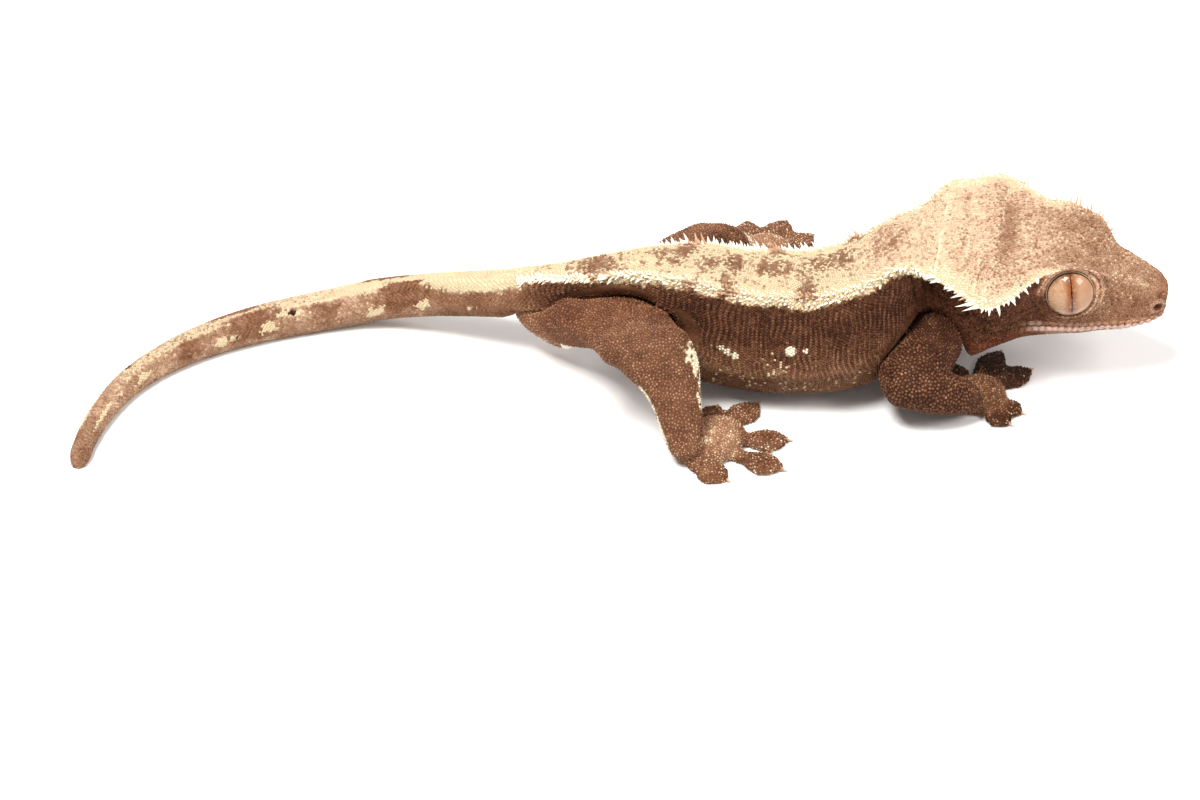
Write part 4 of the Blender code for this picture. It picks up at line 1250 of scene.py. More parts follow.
@dataclass
class Skin:
    """The one skin over all of the animal's flesh.

    Voxel is the lattice step of the limbs, in millimetres. Melting spreads a mask from the joins
    by a number of edges, keeping a share of it at each, and then takes a number of steps of at
    most the melt share, and some more at the hips. Fill rounds is how often the values of old
    points are handed on to the new ones beside them.
    """

    trunk: Trunk
    voxel: float = 0.52
    fill_rounds: int = 6
    melt_rings: int = 21
    melt_keep: float = 0.94
    melt_share: float = 0.7
    melt_steps: int = 130
    hip_steps: int = 170
    soften_share: float = 0.8
    soften_steps: int = 60
    points: Array = field(init=False)
    edges: Array = field(init=False)
    region: Array = field(init=False)
    along: Array = field(init=False)
    column: Array = field(init=False)
    side: Array = field(init=False)
    fresh: Array = field(init=False)
    seam: Array = field(init=False)
    mesh: bpy.types.Mesh = field(init=False)

    def __post_init__(self) -> None:
        """Fuses trunk, limbs and the vent's bulge, and melts the creases between them."""
        forms = [self.trunk.form(), self.vent_form()]
        forms += [self.hip_form(*fill) for fill in HIP_FILLS]
        forms += [fused_limb(leg, self.voxel) for leg in LIMBS]
        helpers = [self.helper(form, index) for index, form in enumerate(forms)]
        base = helpers[0]
        group = bpy.data.collections.new("limbs_to_join")
        for helper in helpers[1:]:
            bpy.context.scene.collection.objects.unlink(helper)
            group.objects.link(helper)
        bpy.context.scene.collection.children.link(group)
        union = base.modifiers.new("Union", "BOOLEAN")
        union.solver = "MANIFOLD"
        union.operation = "UNION"
        union.operand_type = "COLLECTION"
        union.collection = group
        mesh = evaluated_mesh(base)
        for helper in helpers[1:]:
            bpy.data.objects.remove(helper, do_unlink=True)
        bpy.data.collections.remove(group)
        self.read(mesh)
        self.melt()
        self.mesh = mesh

    def vent_form(self) -> Form:
        """The bulge behind the vent: a long ball that slants up into the tail."""
        points, faces = closed_rings(ellipsoid(VENT_BULGE, VENT_BULGE_RADII))
        points[:, 1:] -= (points[:, :1] - VENT_BULGE[0]) * VENT_BULGE_SLANT
        many = np.ones(len(points))
        return Form(points, faces, Region.VENT, 0 * many, 0 * many, np.sign(points[:, 1] - VENT_BULGE[1]))

    def hip_form(self, side: int, centre: tuple, radii: tuple, along: tuple) -> Form:
        """Flesh that fills the valley between a thigh and the flank."""
        points, faces = closed_rings(ellipsoid(centre, radii, along))
        many = np.ones(len(points))
        return Form(points, faces, Region.LEG, 0.1 * many, 0.3 * many, side * many)

    def helper(self, form: Form, number: int) -> bpy.types.Object:
        """One form as an object that carries its values on its points.

        Args:
            form: the form.
            number: its number, for the name.

        Returns:
            The object.
        """
        made = mesh_object(f"form_{number}", form.points, form.faces)
        many = np.ones(len(form.points))
        values = (many, form.region.value * many, form.along, form.column, form.side * many)
        for name, value in zip(("known", *PLACES), values):
            write_values(made.data, name, value)
        return made

    def read(self, mesh: bpy.types.Mesh) -> None:
        """Reads the fused mesh and fills in the values of the points that the union made.

        Args:
            mesh: the mesh that the union made.
        """
        self.points = read_points(mesh)
        self.edges = read_edges(mesh)
        known = read_values(mesh, "known")
        self.fresh = known < 0.5
        donor = np.where(self.fresh, -1, np.arange(len(known)))
        here, there = both_ways(self.edges).T
        for _ in range(self.fill_rounds):
            waiting = (donor[here] < 0) & (donor[there] >= 0)
            donor[here[waiting]] = donor[there[waiting]]
        donor = np.maximum(donor, 0)
        for name in PLACES:
            setattr(self, name, read_values(mesh, name)[donor])
        self.region = np.round(self.region)

    def melt(self) -> None:
        """Smooths the skin near the joins, most at the crease itself.

        A mask of one at the union's new points spreads out over the edges and fades, and each
        smoothing step moves a point towards its neighbours' mean by its mask.
        """
        mask = self.fresh.astype(float)
        here, there = both_ways(self.edges).T
        for _ in range(self.melt_rings):
            spread = mask.copy()
            np.maximum.at(spread, here, self.melt_keep * mask[there])
            mask = spread
        x = self.points[:, 0]
        hip = ease(x, 34.0, 26.0) * ease(x, -7.0, -2.0)
        wide = np.maximum(hip, 0.5 * ease(x, 44.0, 48.0) * ease(x, 62.0, 57.0))
        mask = ease(mask, 0.67 - 0.38 * wide, 0.93) * (0.3 + 0.7 * ease(x, -11.0, -6.0))
        self.seam = mask * ease(x, 40.0, 34.0)
        near = np.flatnonzero(mask > 0)
        number = np.full(len(mask), -1)
        number[near] = np.arange(len(near))
        both = (number[self.edges] >= 0).all(axis=1)
        edges = number[self.edges[both]]
        points, share = self.points[near], self.melt_share * mask[near][:, None]
        for step in range(self.melt_steps + self.hip_steps):
            if step == self.melt_steps:
                share = share * ease(points[:, :1], 24.0, 18.0) * ease(points[:, :1], -6.0, -1.0)
            points = points + share * (neighbour_mean(points, edges) - points)
        self.points[near] = points
        self.points[:, 2] = np.maximum(self.points[:, 2], 0.0)

    def soften(self, masks: Array) -> Array:
        """Lets the colours of hips and thighs run into one another along the joins."""
        share = self.soften_share * self.seam[:, None]
        for _ in range(self.soften_steps):
            masks = masks + share * (neighbour_mean(masks, self.edges) - masks)
        return masks


@dataclass(frozen=True)
class Blotch:
    """A brown mark on the back: its X, its place across, half sizes, slant and strength.

    Across runs from -1 on the right crest line to 1 on the left one, and the slant moves the
    mark forward as it nears the right side.
    """

    x: float
    across: float
    half_length: float
    half_width: float
    slant: float
    strength: float


BLOTCHES = (
    Blotch(-10.5, 0.0, 2.0, 0.7, 0.0, 0.5),
    Blotch(-0.6, 0.1, 4.2, 1.3, 0.0, 0.9),
    Blotch(5.8, 0.5, 1.4, 0.4, 0.0, 0.5),
    Blotch(9.8, 0.3, 2.6, 0.36, 0.0, 0.72),
    Blotch(13.4, 0.42, 2.3, 0.62, -2.2, 0.95),
    Blotch(14.4, -1.0, 1.5, 0.2, 0.0, 0.8),
    Blotch(16.0, 1.05, 1.8, 0.3, 0.0, 0.9),
    Blotch(18.0, -0.05, 2.4, 0.32, 0.0, 0.78),
    Blotch(21.4, 0.1, 2.2, 0.42, -1.4, 0.95),
    Blotch(20.4, -0.78, 1.7, 0.5, 0.0, 0.9),
    Blotch(27.8, 0.08, 4.2, 0.34, 0.3, 0.84),
    Blotch(28.9, 0.9, 1.7, 0.42, 0.0, 0.95),
    Blotch(33.4, -0.8, 1.7, 0.46, 0.0, 0.92),
    Blotch(33.2, -0.3, 1.6, 0.34, 0.0, 0.6),
    Blotch(36.6, 0.2, 4.4, 0.4, 0.0, 0.74),
    Blotch(39.4, 0.15, 2.2, 0.4, 0.0, 0.8),
    Blotch(41.5, 0.9, 1.4, 0.32, 0.0, 0.7),
    Blotch(46.5, 0.05, 3.6, 0.6, 0.0, 0.55),
)
FLANK_SPOTS = (  # place and radius
    (19.3, -3.5, 13.3, 0.6),
    (20.4, -3.9, 12.9, 0.62),
    (21.7, -4.3, 12.5, 0.62),
    (30.6, -5.1, 13.9, 0.85),
    (33.1, -5.1, 13.9, 0.4),
)
TAIL_DOTS = ((-51.3, 17.0, 5.1), (-77.5, 3.8, 3.7))
TAIL_SADDLES = (  # X, half length, and the column where the saddle starts
    (-32.6, 3.9, 0.5),
    (-57.6, 3.8, 0.4),
    (-45.5, 1.6, 2.2),
    (-67.5, 1.5, 2.0),
)
TAIL_FLECKS = (  # X, column and half length
    (-21.2, 4.4, 0.9),
    (-29.3, 3.9, 1.0),
    (-37.4, 4.1, 1.5),
    (-51.0, 2.6, 2.2),
    (-55.1, 3.5, 1.3),
    (-62.1, 3.7, 1.6),
    (-71.0, 2.2, 1.1),
    (-74.5, 3.3, 1.7),
    (-80.6, 2.6, 2.6),
)


@dataclass
class Markings:
    """The four masks of the coat, worked out from where a point is on the animal."""

    body: Body

    def masks(self, points: Array, region: Array, along: Array, column: Array, side: Array) -> Array:
        """Cream, tone, rose and pale for each point.

        Args:
            points: places in the stations' frame.
            region: the region's number of each point.
            along: length along the body, or stretch along a limb.
            column: column round the body, or front edge share of a limb.
            side: side of the body.

        Returns:
            One row of four values from 0 to 1 for each point.
        """
        result = np.zeros((len(points), 4))
        body = region == Region.BODY.value
        vent = region == Region.VENT.value
        limb = ~(body | vent)
        if body.any():
            result[body] = self.on_body(points[body], along[body], column[body], side[body])
        if vent.any():
            result[vent] = self.on_vent(points[vent])
        if limb.any():
            known = (each[limb] for each in (points, region, along, column, side))
            result[limb] = self.on_limb(*known)
        return np.clip(result, 0.0, 1.0)

    def on_vent(self, points: Array) -> Array:
        """The bulge behind the vent: brown, with pale speckles low down.

        Args:
            points: places in the stations' frame.

        Returns:
            One row of cream, tone, rose and pale for each point.
        """
        grain = layered_noise(points, 1.0, 51)
        low = ease(points[:, 2], 8.5, 4.5)
        tone = 0.44 + 0.08 * grain + 0.14 * low
        pale = low * ease(grain, 0.05, 0.5) * 0.8
        return np.stack([0 * tone, tone, 0.2 + 0 * tone, pale], axis=1)

    def on_limb(self, points: Array, region: Array, along: Array, column: Array, side: Array) -> Array:
        """Limbs: brown, with a thin cream fringe along a leg's rear edge and a patch at the knee.

        Args:
            points: places in the stations' frame.
            region: each point's region.
            along: stretch along the limb.
            column: front edge share.
            side: side of the body.

        Returns:
            One row of cream, tone, rose and pale for each point.
        """
        grain = layered_noise(points, 1.8, 41)
        spots = noise(points, 0.9, 44)
        arm = region == Region.ARM.value
        foot = ease(along, 1.8, 2.3)
        toe = np.zeros(len(points))
        for leg in LIMBS:
            own = (region == leg.region.value) & (side == leg.side)
            away = np.linalg.norm((points - leg.foot.palm)[:, :2], axis=1)
            toe = np.where(own, ease(away, 4.6, 6.6), toe)
        toe = toe * foot
        root = ease(along, 0.8, 0.1)
        thigh_tone = 0.34 - 0.14 * bump(along, 0.85, 0.3) * ease(column, 0.2, 0.8) - 0.03 * root
        tone = np.where(arm, 0.17, thigh_tone) + 0.06 * grain
        tone = tone + foot * (np.where(arm, 0.32, 0.52) - 0.18 * toe + 0.08 * grain - tone)
        edge = column + 0.015 * grain
        shank = np.where(arm, 0.0, ease(along, 0.9, 1.1) * ease(along, 2.1, 1.8))
        fringe = shank * ease(edge, -0.962, -0.988) * ease(spots, -0.8, -0.1)
        ragged = column + 0.16 * spots + 0.06 * grain
        broken = ease(noise(points, 0.6, 45), -0.55, 0.0)
        inner = 0.66 + 0.22 * ease(along, 1.35, 1.55)
        knee = ease(along, 1.14, 1.24) * ease(along, 1.8, 1.6) * ease(ragged - inner, 0.0, 0.1) * broken
        start = 0.9 * bump(along, 0.72, 0.1) * ease(ragged, 0.86, 0.98)
        knee = np.where(arm, 0.0, np.maximum(knee, start)) * np.where(side < 0, 1.0, 0.6)
        cream = np.maximum(0.9 * fringe, knee)
        beads = ease(noise(points, 0.46, 46), -0.1, 0.6) * foot * (1 - 0.7 * toe)
        cream = np.maximum(cream, np.where(arm, 0.3, 0.5) * beads)
        thigh = np.where(arm, 0.0, ease(along, 0.9, 0.2))
        rose = np.where(arm, 0.0, 0.05 + 0.2 * thigh) + 0.03 * foot
        pale = 0.2 * foot * (1 - 0.8 * toe) * ease(spots, 0.2, 0.8)
        pale = pale + ease(points[:, 2], 0.5, 0.1) * 0.5
        return np.stack([cream, tone, rose, pale], axis=1)

    def on_body(self, points: Array, along: Array, column: Array, side: Array) -> Array:
        """Tail, trunk and head.

        Args:
            points: places in the stations' frame.
            along: length along the body.
            column: column round the body.
            side: side of the body.

        Returns:
            One row of cream, tone, rose and pale for each point.
        """
        station = self.body.station_at(along)
        grain = layered_noise(points, 2.4, 31)
        fine = layered_noise(points, 0.9, 32)
        trunk = ease(station, 13.2, 14.2)
        head = ease(station, 22.6, 24.2)
        rows = self.trunk_marks(points, column, side, grain, fine)
        tail = self.tail_marks(points, column, side, grain, fine)
        face = self.head_marks(points, column, grain, fine)
        rows = tail + trunk[:, None] * (rows - tail)
        return rows + head[:, None] * (face - rows)

    def trunk_marks(self, points: Array, column: Array, side: Array, grain: Array, fine: Array) -> Array:
        """Cream back with brown blotches, dark wrinkled flanks and a paler, speckled belly.

        Args:
            points: places in the stations' frame.
            column: column round the body.
            side: side of the body.
            grain: broad noise at each point.
            fine: finer noise at each point.

        Returns:
            One row of cream, tone, rose and pale for each point.
        """
        x = points[:, 0]
        warp = 0.9 * layered_noise(points, 3.2, 33)
        across = side * np.minimum(column, 2.6) / 2.0
        back = ease(column + 0.12 * grain + 0.1 * fine, 2.46, 2.2)
        brown = np.zeros(len(x))
        for mark in BLOTCHES:
            ahead = (x + warp + mark.slant * (across - mark.across) - mark.x) / mark.half_length
            over = (across + 0.14 * fine + 0.12 * grain - mark.across) / mark.half_width
            brown = np.maximum(brown, mark.strength * np.exp(-0.9 * (ahead**2 + over**2) ** 1.2))
        middle = ease(np.abs(across), 0.95, 0.6)
        mottle = ease(grain + 0.8 * fine, 0.05, 0.75) * middle * ease(x, 44.0, 30.0) * ease(x, 2.0, 8.0)
        brown = np.maximum(brown, 0.55 * mottle)
        speck = noise(points, 0.42, 38)
        brown = np.clip(brown + (0.2 * fine + 0.42 * speck) * ease(brown, 0.02, 0.2), 0.0, 1.0)
        nape = ease(x, 38.0, 46.0) * ease(np.abs(across), 0.95, 0.75)
        thin = 0.6 * ease(speck, 0.0, 0.7) * (0.45 + 0.55 * middle)
        cream = 1.0 + 0.12 * grain - 0.98 * ease(brown, 0.05, 1.0) - 0.25 * nape - thin
        cream = back * np.clip(cream, 0.0, 1.0)
        tone_back = 0.8 - 0.23 * ease(brown, 0.3, 1.0) + 0.1 * fine + 0.06 * nape
        low = ease(column, 3.2, 4.6)
        tone_flank = 0.27 + 0.05 * grain + 0.21 * low - 0.05 * ease(x, 40.0, 48.0)
        tone_flank = tone_flank + 0.05 * ease(x, 14.0, 4.0)
        tone = tone_flank + back * (tone_back - tone_flank)
        rose = back * (0.12 + 0.3 * nape) + 0.1 * (1 - back) + 0.25 * ease(column, 5.4, 6.2)
        patchy = noise(points, 0.55, 35) + 0.6 * layered_noise(points, 2.4, 36)
        pale = ease(column, 3.7, 4.6) * ease(patchy, 0.2, 1.0) * 0.42 * ease(x, 44.0, 38.0)
        pale = pale + 0.3 * ease(column, 5.4, 6.4)
        for sx, sy, sz, radius in FLANK_SPOTS:
            away = np.linalg.norm(points - (sx, sy, sz), axis=1) + 0.1 * fine
            pale = np.maximum(pale, 0.8 * ease(away, radius * 1.3, radius * 0.8))
        beads = ease(noise(points, 0.46, 40), 0.05, 0.6) * ease(layered_noise(points, 3.5, 43), -0.15, 0.35)
        beads = beads * ease(column, 3.5, 4.1) * ease(column, 5.8, 5.2)
        beads = beads * ease(x, 46.0, 40.0) * ease(x, 8.0, 14.0)
        cream = np.maximum(cream, 0.7 * beads)
        shadow = ease(x, 47.0, 52.0) * ease(column, 2.2, 3.0)
        return np.stack([cream, tone - 0.02 * shadow, rose + 0.3 * shadow, pale], axis=1)

    def tail_marks(self, points: Array, column: Array, side: Array, grain: Array, fine: Array) -> Array:
        """Pinkish tan with dark saddles and cream flecks, and cream along its top.

        Args:
            points: places in the stations' frame.
            column: column round the body.
            side: side of the body.
            grain: broad noise at each point.
            fine: finer noise at each point.

        Returns:
            One row of cream, tone, rose and pale for each point.
        """
        x = points[:, 0]
        ragged = 1.8 * noise(points, 1.1, 39) + 1.6 * noise(points, 0.45, 47) + 0.9 * fine
        root = ease(x, -30.0, -24.0)
        dark, flecks = np.zeros(len(x)), np.zeros(len(x))
        shift = np.where(side > 0, 3.0, 0.0)
        for spot, reach, top in TAIL_SADDLES:
            band = ease(np.abs(x + 0.7 * ragged + shift - spot), reach + 1.1, reach - 1.4)
            dark = np.maximum(dark, band * ease(column + 0.2 * ragged, top - 0.2, top + 0.3))
        dark = dark * ease(column + 0.2 * ragged, 4.9, 3.9)
        for spot, height, half in TAIL_FLECKS:
            away = np.hypot((x + shift - spot) / half, (column - height) / 0.4) + 0.42 * ragged
            flecks = np.maximum(flecks, ease(away, 1.3, 0.6))
        end = ease(points[:, 1], -8.0, -14.0)
        tone = 0.77 + 0.1 * grain + 0.07 * fine - 0.22 * dark - 0.16 * end
        edge = 2.2 + 0.8 * root
        cream_top = ease(column + 0.3 * grain + 0.12 * ragged, edge + 0.25, edge - 0.45)
        cream_top = cream_top * ease(x, -82.0, -76.0)
        cream = cream_top * (1 - dark) * (0.55 + 0.45 * ease(x, -60.0, -35.0))
        cream = np.maximum(cream, 0.95 * flecks) * (1 - end)
        tone = tone - root * (1 - cream_top) * 0.2 * ease(column, 2.0, 3.4)
        pale = 0.4 * ease(column, 5.2, 6.2)
        for dot in TAIL_DOTS:
            spot = ease(np.linalg.norm(points - dot, axis=1), 0.75, 0.42)
            tone, cream = tone - 0.8 * spot, cream * (1 - spot)
        rose = (0.3 - 0.08 * root - 0.2 * end) * (1 - 0.7 * cream)
        return np.stack([cream, tone, rose, pale], axis=1)

    def head_marks(self, points: Array, column: Array, grain: Array, fine: Array) -> Array:
        """Tan hood with a peach rim, pale eyelids, dark cheek, pale lips and a rusty throat, with painted
        shade in the hood's folds, round the eyes and in the nostrils.

        Args:
            points: places in the stations' frame.
            column: column round the body.
            grain: broad noise at each point.
            fine: finer noise at each point.

        Returns:
            One row of cream, tone, rose and pale for each point.
        """
        local = in_head(points)
        along, out, up = local[:, 0], np.abs(local[:, 1]), local[:, 2]
        dots = ease(noise(points, 0.5, 37), 0.35, 0.85)
        hood = ease(column + 0.08 * grain, 2.16, 1.98)
        rim = ease(column + 0.2 * grain + 0.1 * fine, 1.25, 1.95) * ease(along + 1.5 * grain, -14.0, -22.0)
        nape = ease(along + 1.2 * grain, -28.0, -36.0)
        tone_hood = 0.83 + 0.09 * grain + 0.08 * fine + 0.1 * nape + 0.12 * rim
        tone_hood = tone_hood - 0.13 * bump(along, -14.5, 6.0) * (1 - rim)
        # Painted shade: darker in the groove in front of the hood's rear ridge and along the crescent fold.
        tone_hood = tone_hood - 0.16 * bump(along + 0.5 * grain, -27.8, 1.2) * ease(out, 9.5, 3.5)
        tone_hood = tone_hood - 0.16 * bump(along, -34.8 - 0.08 * out, 0.7) * ease(out, 12.0, 8.0)
        tone_hood = tone_hood - 0.12 * ease(fine + 0.8 * grain, 0.1, 0.8)
        cream_hood = np.clip(0.8 * rim + 0.42 * nape + 0.1 * fine + 0.3 * dots, 0.0, 1.0)
        cheek = 0.32 + 0.05 * grain + 0.3 * ease(along, -20.5, -15.5)
        tone = cheek + hood * (tone_hood - cheek)
        snout = ease(along, -13.0, -8.0)
        bridge = bump(column, 1.5, 0.6) * ease(along, -12.0, -9.0) * ease(along, -1.5, -4.0)
        tone = tone + snout * (0.6 + 0.08 * ease(up, -1.0, 2.0) + 0.1 * grain + 0.09 * bridge - tone)
        cream = hood * cream_hood * (1 - 0.75 * snout) + 0.12 * dots * (1 - hood)
        mouth = ease(along, -24.0, -20.0)
        lips = bump(column, 5.16, 0.2) * mouth
        upper_lip = bump(column, 4.84, 0.14) * mouth
        chin = ease(column, 5.1, 5.4)
        throat = chin * ease(along, -17.0, -23.0)
        tone = tone + 0.08 * throat + 0.08 * chin * (1 - throat) + 0.12 * (lips + upper_lip)
        pale = 0.62 * lips + 0.2 * upper_lip + 0.3 * chin * mouth * (1 - throat)
        corner = np.exp(-((along + 20.6) / 2.4) ** 2) * bump(column, 5.05, 0.4)
        pale = np.maximum(pale, 0.6 * corner * ease(fine, -0.4, 0.3))
        nose = ease(along, -4.0, -1.0)
        rose = 0.2 + 0.1 * (1 - hood) + 0.7 * throat + 0.7 * lips + 0.3 * upper_lip
        rose = rose + 0.12 * nape + 0.3 * nose
        for each in (LEFT, RIGHT):
            centre, facing = eye_place(each)
            away = points - centre
            height = away @ facing
            radius = np.sqrt(np.maximum((away**2).sum(1) - height**2, 0.0))
            open_side = ease(height, 0.4, 1.4)
            lid = ease(radius, 6.0, 5.2) * open_side * ease(local[:, 2] + 0.35 * away[:, 0], -1.0, 1.5)
            lid = lid * ease(column, 1.75, 2.1)
            tone, cream = tone + lid * (0.9 - tone), cream + lid * (0.34 + 0.15 * fine - cream)
            rose = rose + 0.4 * lid
            # Painted shade: darker and without cream on the skin close round the eyeball and in the groove
            # round each eye.
            crease = ease(radius, 4.2, 4.0) * ease(height, 1.2, 2.0)
            crease = np.maximum(crease, 0.5 * lid * bump(radius, 4.95, 0.14))
            tone, cream = tone - 0.5 * crease, cream * (1 - crease)
            reach = np.linalg.norm(local - NOSTRIL * mirror(each), axis=1)
            # Inside the nostril the skin is darker as painted shade in the pit, and redder as its own
            # colour.
            shaded_pit = ease(reach, 1.0, 0.6)
            pale = np.maximum(pale, 0.4 * ease(reach, 2.0, 1.2))
            tone, rose, pale = tone - 0.28 * shaded_pit, rose + shaded_pit, pale * (1 - shaded_pit)
        return np.stack([cream, tone, rose, pale], axis=1)


@dataclass(frozen=True)
class Palette:
    """The animal's colours, as linear red, green and blue."""

    umber: tuple = (0.022, 0.009, 0.005)
    coffee: tuple = (0.085, 0.033, 0.016)
    brown: tuple = (0.24, 0.115, 0.062)
    tan: tuple = (0.43, 0.25, 0.15)
    fawn: tuple = (0.62, 0.45, 0.31)
    sand: tuple = (0.83, 0.67, 0.49)
    rose: tuple = (0.5, 0.17, 0.09)
    cream: tuple = (0.84, 0.83, 0.7)
    peach: tuple = (0.84, 0.74, 0.6)
    ochre: tuple = (0.4, 0.24, 0.06)
    # groove is the painted shade that cream takes between the scales
    groove: tuple = (0.58, 0.43, 0.22)
    white: tuple = (0.84, 0.79, 0.6)
    lip: tuple = (0.72, 0.5, 0.44)


PALETTE = Palette()


@dataclass
class Graph:
    """A node tree with short ways to add nodes and join them."""

    tree: bpy.types.NodeTree

    def add(self, kind: str, **settings: object) -> bpy.types.Node:
        """Adds one node and sets its plain properties."""
        node = self.tree.nodes.new(kind)
        for key, value in settings.items():
            setattr(node, key, value)
        return node

    def join(self, output: bpy.types.NodeSocket, entry: bpy.types.NodeSocket) -> None:
        """Links an output to an input."""
        self.tree.links.new(output, entry)

    def mix(self, share: object, first: object, second: object, blend: str = "MIX") -> bpy.types.NodeSocket:
        """A colour mix; each argument is a socket, a colour or a number."""
        node = self.add("ShaderNodeMix", data_type="RGBA", blend_type=blend)
        for entry, value in ((node.inputs[0], share), (node.inputs[6], first), (node.inputs[7], second)):
            self.feed(entry, value)
        return node.outputs[2]

    def math(
        self, operation: str, first: object, second: object = 0.0, clamp: bool = False
    ) -> bpy.types.NodeSocket:
        """A sum, product or other operation on two numbers or sockets."""
        node = self.add("ShaderNodeMath", operation=operation, use_clamp=clamp)
        self.feed(node.inputs[0], first)
        self.feed(node.inputs[1], second)
        return node.outputs[0]

    def span(
        self, value: object, low: float, high: float, to_low: float = 0.0, to_high: float = 1.0
    ) -> bpy.types.NodeSocket:
        """Maps a value from one range to another, eased and clamped.

        Args:
            value: a socket or a number.
            low: the value that gives to_low.
            high: the value that gives to_high.
            to_low: one end of the result.
            to_high: its other end.

        Returns:
            The result's socket.
        """
        node = self.add("ShaderNodeMapRange", interpolation_type="SMOOTHSTEP")
        self.feed(node.inputs["Value"], value)
        limits = {"From Min": low, "From Max": high, "To Min": to_low, "To Max": to_high}
        for name, number in limits.items():
            node.inputs[name].default_value = number
        return node.outputs["Result"]

    def feed(self, entry: bpy.types.NodeSocket, value: object) -> None:
        """Links a socket, or sets a number or a colour.

        Args:
            entry: the input.
            value: what goes in.
        """
        if isinstance(value, bpy.types.NodeSocket):
            self.join(value, entry)
        elif isinstance(value, tuple):
            entry.default_value = (*value, 1.0)
        else:
            entry.default_value = value

    def speckle(self, coordinates: object, size: float, detail: float = 2.0) -> bpy.types.NodeSocket:
        """Noise over the object's own coordinates; size is in millimetres.

        Args:
            coordinates: the socket of the object's coordinates.
            size: size of the grain.
            detail: how many finer layers it has.

        Returns:
            The noise's socket, from 0 to 1.
        """
        node = self.add("ShaderNodeTexNoise")
        node.inputs["Scale"].default_value = 1.0 / (size * MM)
        node.inputs["Detail"].default_value = detail
        self.feed(node.inputs["Vector"], coordinates)
        return node.outputs["Fac"]


MARKINGS_INPUTS = {
    "Cream": "NodeSocketFloat",
    "Tone": "NodeSocketFloat",
    "Rose": "NodeSocketFloat",
    "Pale": "NodeSocketFloat",
    "Tip": "NodeSocketFloat",
    "Place": "NodeSocketVector",
}
MARKINGS_OUTPUTS = {
    "Color": "NodeSocketColor",
    "Roughness": "NodeSocketFloat",
    "Height": "NodeSocketFloat",
}
ROSE_TINT = (1.0, 0.74, 0.67)  # what the brown is multiplied by where the skin is rosy
GROOVE_SHADE = (0.45, 0.38, 0.33)  # painted shade: what a colour is multiplied by in the grooves between the scales


def new_material(name: str) -> tuple:
    """A new material, its nodes as a graph, and its main shader's node."""
    material = bpy.data.materials.new(name)
    material.use_nodes = True
    return material, Graph(material.node_tree), material.node_tree.nodes["Principled BSDF"]


